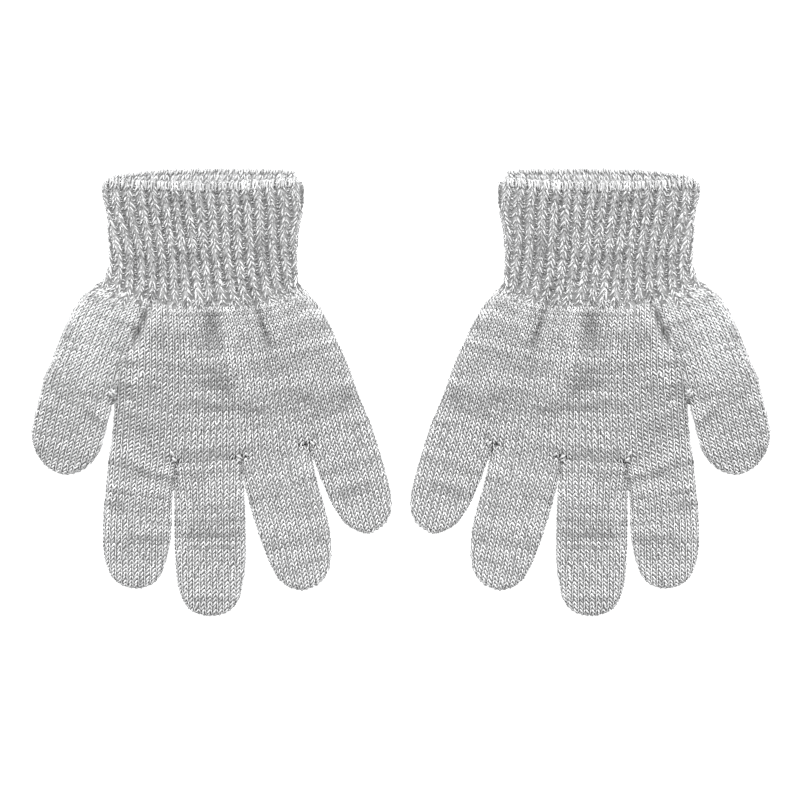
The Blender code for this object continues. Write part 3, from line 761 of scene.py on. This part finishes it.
def beside(points, row):
    """Positive on the left of the way from a row's left end to its right end."""
    start, end = np.array(row).reshape(2, 2)
    run, off = end - start, points - start
    return run[0] * off[:, 1] - run[1] * off[:, 0]


def past_ribs(middle):
    """Whether each middle of a heel stitch is past the ribs that run on below the cuff seam."""
    rib, below = rib_at(middle), below_seam(middle)
    return below > (rib_run(rib) - 0.4) * (0.25 + 0.75 * rib_wave(rib)) - 0.6


def past_fold(middle):
    """How far each middle lies past the thumb's fold, towards the hand."""
    fold = np.array(THUMB_FOLD)[::-1]
    return middle[:, 0] - np.interp(middle[:, 1], fold[:, 1], fold[:, 0])


# The wales that run on from the heel into the palm or the thumb: their cells, how far past the
# crotch their fold runs, which side of it they lie on, and the line where the heel ends.
SPLITS = {
    "palm": (HAND_WALES, (-3, HAND_WALES_ACROSS + 4, HAND_COURSES), 1, 1,
             THUMB_CROTCH + ROWS["palm"][0][2:]),
    "thumb": (THUMB_WALES, (-3, 16, 53), 0, -1, ROWS["thumb"][0]),
}


def knit_split(parts, other, under, seed):
    patch, cells, past, side, line = SPLITS[other]
    names = CHAINS_OF[other]
    cells, middle = covered(patch.point, names, patch_cells(*cells), under)
    keep = (middle[:, 1] <= THUMB_CROTCH[1] - past) | (side * past_fold(middle) > -FOLD_OVERLAP)
    keep &= past_ribs(middle)
    heel = beside(middle, line) > 0
    stitches(parts["heel"], patch, names, cells[keep & heel], under, seed)
    stitches(parts[other], patch, names, cells[keep & ~heel], under, seed + 5)


def knit_finger(parts, name, under, seed):
    patch, root = FINGER_WALES[name], ROWS[name][0]
    first = int(np.floor(patch.first))
    cells = patch_cells(first - 3, first + int(patch.wales) + 5, int(patch.course[-1]))
    cells, middle = covered(patch.point, CHAINS_OF[name], cells, under)
    width = math.hypot(root[2] - root[0], root[3] - root[1])
    keep = beside(middle, root) < ROOT_OVERLAP * width
    stitches(parts[name], patch, CHAINS_OF[name], cells[keep], under, seed)


# ---- ribbed cuff

CUFF_COURSES = 23
CUFF_MIDDLE = 47  # y half way down the cuff
RUN_ON_COURSES = 4  # courses of ribs that may run on below the seam
MOUTH_LEFT, MOUTH_RIGHT = ROWS["cuff"][0][0], ROWS["cuff"][0][2]


def across_mouth(x):
    """Share of the way across the mouth."""
    return np.clip((x - MOUTH_LEFT) / (MOUTH_RIGHT - MOUTH_LEFT), 0, 1)


def mouth_drop(x):
    """How far the edge of the mouth is rounded down at its two ends."""
    share = across_mouth(x)
    return CORNER_DROP * (1 - smooth_step(np.minimum(share, 1 - share) / CORNER_SHARE))


def mouth_y(x):
    """y of the upper layer's edge at the mouth, which sags in the middle."""
    return MOUTH + NEAR_RISE - MOUTH_SAG * np.sin(np.pi * across_mouth(x)) - mouth_drop(x)


def cuff_y(x, done):
    """y at shares of the way down the cuff, from its mouth to its seam."""
    return mouth_y(x) + (seam_y(x) - mouth_y(x)) * done


def rib_place(rib, course):
    """Places in the plan on the ribs, which fan out below the cuff seam."""
    x = rib_x(rib, np.full(np.shape(rib), CUFF_MIDDLE))
    for _ in range(4):
        y = cuff_y(x, course / CUFF_COURSES)
        x = rib_x(rib, y)
    return np.stack([x, y], -1)


# The strands of one rib and the valley right of it, with the half width and tint of each. The first two
# are the rib's legs, the third fills the gap between them, and the purl strands cross the valley. Tints
# below 1 are painted shade, where a strand lies deep in that gap or down in the valley.
RIB_LEGS = (
    (((0.1, -0.3, -0.76), (0.17, 0.02, -0.3), (0.26, 0.46, -0.17),
      (0.36, 0.92, -0.19), (0.43, 1.24, -0.76)), 0.21, 1),
    (((0.57, 1.24, -0.76), (0.64, 0.92, -0.19), (0.74, 0.46, -0.17),
      (0.83, 0.02, -0.3), (0.9, -0.3, -0.76)), 0.21, 1),
    (((0.46, -0.2, -0.8), (0.49, 0.1, -0.42), (0.5, 0.4, -0.38),
      (0.51, 0.7, -0.42), (0.54, 1, -0.8)), 0.19, 0.86),
    (((0.83, 0.1, -0.8), (0.91, 0.34, -0.44), (0.98, 0.46, -0.36),
      (1.04, 0.5, -0.44), (1.1, 0.3, -0.8)), 0.18, 0.84),
    (((0.9, 0.78, -0.8), (0.96, 0.94, -0.48), (1.02, 0.98, -0.42),
      (1.08, 0.9, -0.48), (1.15, 0.66, -0.8)), 0.18, 0.68),
)
FIRST_PURL = 3  # from this one on they cross the valley, down to the cuff seam
RIB_SPREAD = (0.035, 0.20, 0.05, 0.06, 0.12, 0.28)  # as in HAND_SPREAD
RIB_STEP = 0.45  # how far, in courses, the stitches of a rib may drift along it
RIB_FLECKS = 0.15  # share of the yarn in the ribs that is dark fibre
FLECK_TONES = (0.35, 1.10)  # shade of dark fibre and of the rest of that yarn
RIB_UNDER_WIDTH = 1.6


def knit_cuff(parts, under, seed):
    names = CHAINS_OF["cuff"]
    cells, middle = covered(rib_place, names, patch_cells(-4, 21, CUFF_COURSES + RUN_ON_COURSES), under)
    cells = cells[below_seam(middle) < rib_run(cells[:, 0])]
    wale, course = cells.T.astype(float)
    count = len(cells)
    chance = np.random.default_rng(seed)
    shade = melange(2 * wale + (40 if under else 0), course, seed)
    if not under:
        shade = shade * upper_tone(rib_place(wale + 0.5, course + 0.5))
    knit = below_seam(rib_place(wale + 1, course + 0.5)) < 0.8
    across, along, turn, height, girth, uneven = RIB_SPREAD
    for number, (leg, half_width, tint) in enumerate(RIB_LEGS):
        leg_x, leg_y, leg_lift = np.array(leg).T
        tilt = chance.normal(0, turn, (count, 1))
        x = leg_x + chance.normal(0, across, (count, 1)) + tilt * (leg_y - 0.5)
        step = RIB_STEP * value_noise(course / 5, 3 * wale + 50, 41)[:, None]
        y = leg_y + chance.normal(0, along, (count, 1)) + step
        row = course[:, None] + 1 - y
        place = rib_place(wale[:, None] + x, row)
        lift = leg_lift + chance.normal(0, height, (count, 1)) - (UNDER_RAISE if under else 0)
        lift = lift + rib_rise(place.reshape(-1, 2), under).reshape(lift.shape)
        centres, outward = lay(place, names, under, lift)
        width = half_width * SPINDLE * (1 + chance.normal(0, girth, (count, 1)))
        width = width * (1 - 0.07 * np.clip(row - CUFF_COURSES, 0, 4))
        tone = YARN_SHADE * tint * shade[:, None] * (1 + chance.normal(0, uneven, x.shape))
        tone *= 1 + 0.07 * smooth_step((course[:, None] - 14) / 8)
        tone *= np.where(chance.random(x.shape) < RIB_FLECKS, *FLECK_TONES)
        kept = knit if number >= FIRST_PURL else np.full(count, True)
        add_yarn(parts["cuff"], centres[kept], outward[kept], width[kept], tone[kept], chance,
                 RIB_UNDER_WIDTH if under else None)


# How far the under layer reaches past the upper one, by the share of the way across the mouth.
FAR_REACH = (
    (0, 0), (0.02, 0.25), (0.09, 0.56), (0.17, 0.68), (0.32, 0.95), (0.6, 1), (0.86, 0.95), (0.955, 0.8),
    (0.985, 0.42), (1, 0),
)


def far_reach(x):
    rib = rib_at(np.column_stack([x.ravel(), np.full(x.size, MOUTH)])).reshape(x.shape)
    reach = np.interp(across_mouth(x), *np.transpose(FAR_REACH))
    return FAR_RIM * reach * (0.96 + 0.06 * rib_wave(rib)) - mouth_drop(x)


# Strands that turn over the rims: y past the rim, and depth below the outside of that layer.
NEAR_RIM_LOOP = ((-3.6, -0.70), (-1.9, -0.10), (-0.1, -0.30), (0.30, -1.15), (-0.2, -1.9))
FAR_RIM_LOOP = ((-1.7, -2.2), (-0.7, -2.35), (0.05, -1.9), (0.15, -1.1), (-0.4, -0.35))
RIM_WIDTHS = np.array([0, 0.22, 0.24, 0.22, 0])
NEAR_RIM_TONE = 1.03
FAR_RIM_TONE = 1.02
FAR_FACE_TONE = 1.12
FAR_FACE_ROWS = 4
LOOPS_PER_RIB = 6
LOOP_SLANT = 0.16  # how far across the ribs a loop runs
MOUTH_RIBS = (-0.5, 16.4)  # the ribs at the two ends of the mouth
OPEN_REACH = 0.3 * FAR_RIM  # the far layer shows where it reaches further than this


def knit_rim(part, path, far, tone, chance):
    """Loops over one rim of the mouth."""
    names = CHAINS_OF["cuff"]
    past, depth = np.array(path).T
    loops = np.arange(MOUTH_RIBS[0], MOUTH_RIBS[1], 1 / LOOPS_PER_RIB)[:, None]
    rib = loops + np.linspace(0, LOOP_SLANT, 5) + chance.normal(0, 0.05, loops.shape)
    x = rib_x(rib, np.full(rib.shape, MOUTH))
    keep = (x[:, 0] > MOUTH_LEFT + 0.5) & (x[:, -1] < MOUTH_RIGHT - 0.5)
    if far:
        keep &= far_reach(x[:, 2]) > OPEN_REACH
    rib, x = rib[keep], x[keep]
    count = len(x)
    y = past + (MOUTH + far_reach(x) if far else mouth_y(x))
    y += chance.normal(0, 0.12, (count, 1))
    y[:, 0] += chance.uniform(-0.9, 1.2, count)
    lift = depth + (0 if far else 0.5 * RIB_RISE) * rib_wave(rib)
    centres, outward = lay(np.stack([x, y], -1), names, far, lift)
    blend = np.linspace(0, 1, 5)[None, :, None]
    facing = outward * ((1 - 2 * blend) * (-1 if far else 1))
    facing += np.array([0, 1, 0]) * np.sin(np.pi * blend)
    width = RIM_WIDTHS * (1 + chance.normal(0, 0.12, (count, 1)))
    tone = YARN_SHADE * tone * (1 + chance.normal(0, 0.08, (count, 1)))
    tone = tone * (1 + chance.normal(0, 0.10, rib.shape))
    add_yarn(part, centres, facing, width, tone, chance)


def knit_far_face(part, chance):
    """The far layer's inner face between the two rims."""
    wale, row = patch_cells(0, int(2 * (MOUTH_RIBS[1] - MOUTH_RIBS[0])), FAR_FACE_ROWS).T[..., None]
    count = len(wale)
    for leg, half_width in LEGS:
        leg_x, leg_y, leg_lift = np.array(leg).T
        rib = MOUTH_RIBS[0] + wale * 0.5 + leg_x * 0.5 + chance.normal(0, 0.03, (count, 1))
        x = rib_x(rib, np.full(rib.shape, MOUTH))
        step = (row + leg_y - 1 + chance.normal(0, 0.1, (count, 1))) / (FAR_FACE_ROWS - 1)
        keep = (far_reach(x[:, 2]) > OPEN_REACH) & (x[:, 0] > MOUTH_LEFT) & (x[:, -1] < MOUTH_RIGHT)
        near = mouth_y(x) - 0.6
        y = near + (MOUTH + far_reach(x) - near) * step * 0.95
        lift = -CUFF_WALL - 0.15 - (leg_lift + 0.3) + chance.normal(0, 0.08, (count, 1))
        centres, outward = lay(np.stack([x, y], -1)[keep], CHAINS_OF["cuff"], True, lift[keep])
        kept = keep.sum()
        width = half_width * SPINDLE * 1.1 * (1 + chance.normal(0, 0.12, (kept, 1)))
        tone = YARN_SHADE * FAR_FACE_TONE * (1 + chance.normal(0, 0.12, (kept, 5)))
        # Painted shade on the far face just under the upper layer's rim.
        tone *= (0.60 + 0.40 * smooth_step(step / 0.6))[keep]
        part.add(*loose_strands(centres, -outward, width, tone, chance))


# Small knots of yarn at the roots of the fingers: ends of each strand, half width, shade.
KNOTS = (
    ("palm", (-10, -18.6), (-8.6, -20.7), 0.46, 1.04), ("palm", (-9.4, -20.6), (-8, -22.4), 0.44, 1),
    ("palm", (10.6, -19.9), (13, -21.6), 0.48, 1.06), ("palm", (10.8, -21), (12.6, -22.3), 0.5, 1.05),
    ("palm", (13.4, -19.2), (14.6, -20.4), 0.5, 1.15), ("palm", (33.6, -15.6), (36, -17.6), 0.5, 1.12),
    ("palm", (34.6, -15.2), (37, -17), 0.42, 1.08), ("heel", (-28.6, 1), (-27, -1.4), 0.42, 1.04),
    ("heel", (-29.4, 0.2), (-27.6, -2.2), 0.4, 1),
)
KNOT_LIFTS = np.array([[-0.5, 0.05, 0.15, 0.05, -0.5]])
KNOT_WIDTHS = np.array([[0, 0.85, 1, 0.85, 0]])


def knit_knots(parts, seed):
    chance = np.random.default_rng(seed)
    for section, start, end, half_width, tint in KNOTS:
        place = across_row(np.array(start + end), np.linspace(0, 1, 5))
        centres, outward = lay(place[None], CHAINS_OF["palm"], False, KNOT_LIFTS)
        tone = YARN_SHADE * tint * np.ones((1, 5))
        parts[section].add(*strands(centres, outward, half_width * KNOT_WIDTHS, tone, chance, 6))


# ---- shells under the stitches

FOLD_TURNS = np.linspace(0, QUARTER, 6)
FOLD_STEPS = len(FOLD_TURNS)
# Painted shade: the ground under the stitches is dark, for the shadow deep between them; GROUND_TONES
# make it lighter section by section.
PAINTED_GROUND_SHADE = 0.20
GROUND_TONES = {"cuff": 1, "heel": 1.34, "palm": 1.36, "thumb": 1.3, "index": 1.4, "middle": 1.35,
                "ring": 1.5, "little": 1.4}
LINING_TONE = 1.6  # how much lighter the inside of the tubes is, deep in the mouth
SHELL_LAP = 0.4  # how far a shell runs on under the next one
FINGER_COLUMNS = 7  # columns of a finger's shell between its two folds


def painted_ground_shade(points):
    """Painted shade of the ground, standing for the shadow deep between the stitches: darker in the
    ribs' valleys than on their crests, with painted light at the mouth and less of the painted shade
    just above the cuff seam.
    """
    grain = value_noise(points[:, 0] / 1.7, np.floor(points[:, 1] / COURSE) + 200, 77)
    plan = points[:, :2]
    ribbed = np.where(below_seam(plan) > 0, 0, 1)
    ribs = 1.35 * rib_wave(rib_at(plan)) ** 1.5 + 0.5 * mouth_share(plan[:, 1]) - 0.15
    ribs += 0.45 * smooth_step((seam_y(plan[:, 0]) + 4 - plan[:, 1]) / 4)
    return PAINTED_GROUND_SHADE * (1 + ribbed * ribs) * (1 + 0.12 * grain)


def fold_run(middle):
    """How far in from a fold's edge its steps lie, in the flattened plan."""
    radius = base_height(middle[None]) / 2
    return radius * FOLD_TURNS - (QUARTER - 1) * radius


def loop_faces(first, second, count):
    k = np.arange(count)
    after = (k + 1) % count
    return np.column_stack([first + k, second + k, second + after, first + after])


def heel_point(row, done, shares):
    """Places in the heel, from the sagging seam to the thumb line and the palm line."""
    last = ROWS["heel"][-1]
    place = across_row(row, shares)
    sag = SEAM_BOW * (1 - np.abs(2 * np.clip(shares, 0, 1) - 1) ** 3)
    place[:, 1] -= sag * (1 - done) ** 2
    corners = bow(shares, (0, CROTCH_ACROSS, 1), (last[:2], THUMB_CROTCH, last[2:]))
    return place + corners * smooth_step((done - 0.35) / 0.65)


def palm_point(row, done, shares):
    place = across_row(row, shares)
    place[:, 1] -= SHELL_LAP * (done == 1)
    return place + hand_end_bow(shares) * done


def cuff_point(row, done, shares):
    x = row[0] + (row[2] - row[0]) * shares
    return np.column_stack([x, cuff_y(x, done) - SHELL_LAP * (done == 1)])


# Steps between rows, places in the plan and columns between the folds of each open tube.
TUBES = {"cuff": (2, cuff_point, 120), "heel": (4, heel_point, 60), "palm": (4, palm_point, 50)}


def tube_plans(name):
    """Places in the plan along each loop of a tube that is open at both ends."""
    steps, point, interior = TUBES[name]
    rows = spline(ROWS[name], steps)
    plans = []
    for number, row in enumerate(rows):
        width = math.hypot(row[2] - row[0], row[3] - row[1])
        fold = fold_run((row[:2] + row[2:]) / 2) / width
        first = (base_height(((row[:2] + row[2:]) / 2)[None])[0] / 2 + 0.6) / width
        shares = np.concatenate([fold, np.linspace(first, 1 - first, interior), 1 - fold[::-1]])
        plans.append(point(row, number / (len(rows) - 1), shares))
    return plans


def ways_in(edge, tip, first, turn):
    """Ways into the cloth along an edge of a finger: turn is 1 on the left and -1 on the right."""
    down = np.vstack([edge, tip])[2:] - edge[:-1]
    ways = np.vstack([first, turn * np.column_stack([-down[:, 1], down[:, 0]])])
    return ways / np.linalg.norm(ways, axis=1)[:, None]


def finger_plans(name):
    """Places in the plan along each loop of a finger, and up the arch over its tip."""
    rows = spline(ROWS[name], 3)
    tip = np.array(TIPS[name])
    left, right = rows[:, :2], rows[:, 2:]
    way_left = ways_in(left, tip, right[0] - left[0], 1)
    way_right = ways_in(right, tip, left[0] - right[0], -1)
    columns = np.linspace(0, 1, FINGER_COLUMNS + 2)[1:-1, None]
    plans = []
    for k in range(len(rows)):
        fold = fold_run((left[k] + right[k]) / 2)[:, None]
        lefts_in = left[k] + way_left[k] * fold
        rights_in = (right[k] + way_right[k] * fold)[::-1]
        between = lefts_in[-1] + (rights_in[0] - lefts_in[-1]) * columns
        plans.append(np.vstack([lefts_in, between, rights_in]))
    up = np.array([left[-1][1] - right[-1][1], right[-1][0] - left[-1][0]])
    return plans + [tip + up / np.linalg.norm(up) * fold_run(tip)[:, None]]


def tip_faces(loop, arch):
    """Faces between the last loop of a finger's shell and the arch over its tip."""
    top_ring = arch + np.arange(FOLD_STEPS)
    low_ring = np.append(arch, top_ring[1:] + FOLD_STEPS - 1)
    top_count = 2 * FOLD_STEPS + FINGER_COLUMNS
    count = 2 * top_count - 2
    faces = []

    def add(turned, a, b, c):
        faces.append((a, c, b) if turned else (a, b, c))

    for k in range(FOLD_STEPS - 1):
        for below, ring in ((False, top_ring), (True, low_ring)):
            for here, after in ((k, k + 1), (top_count - 1 - k, top_count - 2 - k)):
                turned = below != (here > after)
                if below:
                    here, after = -here % count, -after % count
                add(turned, loop + here, ring[k], ring[k + 1])
                add(turned, loop + here, ring[k + 1], loop + after)
    for k in range(FOLD_STEPS - 1, top_count - FOLD_STEPS):
        add(False, loop + k, top_ring[-1], loop + k + 1)
        add(False, loop + -k % count, loop + (-k - 1) % count, low_ring[-1])
    return np.array(faces)


def make_shell(name):
    """The double-walled ground of a section: its points, faces and shades."""
    closed = name in FINGERS
    plans = finger_plans(name) if closed else tube_plans(name)
    names = CHAINS_OF[name]
    points, starts = [], []
    for inset in (SHELL_INSET, CUFF_WALL if name == "cuff" else KNIT_WALL):
        for number, plan in enumerate(plans):
            top_lift = low_lift = -inset
            below = plan
            if name == "cuff":
                reach = MOUTH - mouth_y(plan[:, 0]) + far_reach(plan[:, 0])
                reach *= max(0, 1 - 3 * number / (len(plans) - 1))
                below = plan + np.outer(reach, (0, 1))
                if inset == SHELL_INSET:
                    top_lift = rib_rise(plan, False) - inset
                    low_lift = rib_rise(plan, True) - inset
            top, _ = surface(plan, names, False, top_lift)
            low, _ = surface(below, names, True, low_lift)
            arch = len(plan) == FOLD_STEPS
            starts.append(sum(map(len, points)))
            points.append(np.vstack([top, low[1:] if arch else low[-2:0:-1]]))
    count = len(points[0])
    outer, inner = np.array(starts).reshape(2, -1)
    faces = []
    for k in range(len(outer) - 1 - closed):
        faces.append(loop_faces(outer[k], outer[k + 1], count))
        faces.append(loop_faces(inner[k + 1], inner[k], count))
    faces.append(loop_faces(inner[0], outer[0], count))
    points = np.vstack(points)
    shade = painted_ground_shade(points) * GROUND_TONES[name]
    if closed:
        tips = [tip_faces(*outer[-2:]), tip_faces(*inner[-2:])[:, ::-1]]
        return points, [np.vstack(faces), np.vstack(tips)], shade
    faces.append(loop_faces(outer[-1], inner[-1], count))
    shade[inner[0]:] *= 1 + LINING_TONE * smooth_step((MOUTH - 2.5 - points[inner[0]:, 1]) / 3)
    return points, [np.vstack(faces)], shade


# ---- materials

def set_inputs(node, values):
    for name, value in values.items():
        node.inputs[name].default_value = value


def yarn_material(name, roughness, sheen, grain):
    """Matte yarn: its shade, the yarn's melange with painted light and shade, is in the mesh's colour
    attribute, with fine fibres as bump.
    """
    material = bpy.data.materials.new(name)
    material.use_nodes = True
    nodes, links = material.node_tree.nodes, material.node_tree.links
    shader = nodes["Principled BSDF"]
    set_inputs(shader, {"Roughness": roughness, "Specular IOR Level": 0.25, "Sheen Weight": sheen,
                        "Sheen Roughness": 0.5})
    colour = nodes.new("ShaderNodeVertexColor")
    colour.layer_name = "Melange_and_painted_shade"
    where = nodes.new("ShaderNodeTexCoord")
    fibre = nodes.new("ShaderNodeTexNoise")
    set_inputs(fibre, {"Scale": grain, "Detail": 3, "Roughness": 0.7})
    bump = nodes.new("ShaderNodeBump")
    set_inputs(bump, {"Strength": 0.8, "Distance": 0.0002})
    links.new(colour.outputs["Color"], shader.inputs["Base Color"])
    links.new(where.outputs["Object"], fibre.inputs["Vector"])
    links.new(fibre.outputs["Fac"], bump.inputs["Height"])
    links.new(bump.outputs["Normal"], shader.inputs["Normal"])
    return material


# ---- the pair

SLOTS = {"cuff": "cuff_knit", "heel": "hand_knit", "palm": "hand_knit"}
RIM_ANGLE = math.radians(50)


def make_stitches():
    parts = {name: Part() for name in SECTIONS}
    for under in (False, True):
        seed = 900 if under else 100
        knit_cuff(parts, under, seed + 1)
        knit_split(parts, "palm", under, seed + 2)
        knit_split(parts, "thumb", under, seed + 3)
        for k, name in enumerate(FINGERS[1:]):
            knit_finger(parts, name, under, seed + 20 + 3 * k)
    chance = np.random.default_rng(55)
    knit_rim(parts["cuff"], NEAR_RIM_LOOP, False, NEAR_RIM_TONE, chance)
    knit_rim(parts["cuff"], FAR_RIM_LOOP, True, FAR_RIM_TONE, chance)
    knit_far_face(parts["cuff"], chance)
    knit_knots(parts, 77)
    return parts


def make_gloves():
    yarn = yarn_material("melange_yarn", 0.85, 0.25, 3600)
    ground = yarn_material("knit_ground", 0.95, 0, 4000)
    shells = {name: Part() for name in SECTIONS}
    for name, shell in shells.items():
        shell.add(*make_shell(name))
    covers = make_stitches()
    for side, mirrored in (("left", False), ("right", True)):
        for name in SECTIONS:
            shell = shells[name].make(f"{side}_{name}_ground", mirrored, ground)
            cover = covers[name].make(f"{side}_{name}_stitches", mirrored, yarn)
            shell.data.set_sharp_from_angle(angle=RIM_ANGLE)
            for piece in (shell, cover):
                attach(piece, "root")
                SLOTS.get(name, "finger_knit")
            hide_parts(f"{side}_{name}")


# ---- studio, in metres

WHITE = (1, 1, 1, 1)
FLOOR_SIZE = 6
FLOOR_GREY = 0.9
FLOOR_GLOW = 0.85
SKY_LIGHT = 0.46
KEY_SIZE = 0.16
KEY_SPREAD = 60  # degrees
KEY_POWER = 0.37
KEY_PLACE = (0.30, 0.36, 0.34)
KEY_TARGET = (0.062, 0, 0)
SENSOR = 36
LENS = 200
VIEW_WIDTH = 0.250
VIEW_HEIGHT = 0.005  # the height at which the view is that wide
VIEW_CENTRE = (-0.0003, -0.00226)


def add_object(name, data, place):
    thing = bpy.data.objects.new(name, data)
    thing.location = place
    bpy.context.scene.collection.objects.link(thing)
    return thing


def make_studio():
    bpy.ops.mesh.primitive_plane_add(size=FLOOR_SIZE)
    floor = bpy.context.object
    floor.name = "floor"
    paper = bpy.data.materials.new("white_paper")
    paper.use_nodes = True
    set_inputs(paper.node_tree.nodes["Principled BSDF"], {
        "Base Color": (FLOOR_GREY, FLOOR_GREY, FLOOR_GREY, 1),
        "Roughness": 1,
        "Specular IOR Level": 0,
        "Emission Color": WHITE,
        "Emission Strength": FLOOR_GLOW,
    })
    floor.data.materials.append(paper)

    scene = bpy.context.scene
    scene.world = bpy.data.worlds.new("studio")
    scene.world.use_nodes = True
    set_inputs(scene.world.node_tree.nodes["Background"], {"Color": WHITE, "Strength": SKY_LIGHT})

    # One soft light for each glove, from beyond its thumb and cuff, as its mirror image has it.
    for name, side in (("left_key", -1), ("right_key", 1)):
        light = bpy.data.lights.new(name, "AREA")
        light.size = KEY_SIZE
        light.spread = math.radians(KEY_SPREAD)
        light.energy = KEY_POWER
        lamp = add_object(name, light, (side * KEY_PLACE[0],) + KEY_PLACE[1:])
        way = Vector((side * KEY_TARGET[0],) + KEY_TARGET[1:]) - lamp.location
        lamp.rotation_euler = way.to_track_quat("-Z", "Y").to_euler()

    lens = bpy.data.cameras.new("camera")
    lens.sensor_width = SENSOR
    lens.lens = LENS
    distance = VIEW_WIDTH * LENS / SENSOR
    scene.camera = add_object("camera", lens, VIEW_CENTRE + (distance + VIEW_HEIGHT,))
    scene.view_settings.view_transform = "Standard"


make_gloves()
make_studio()
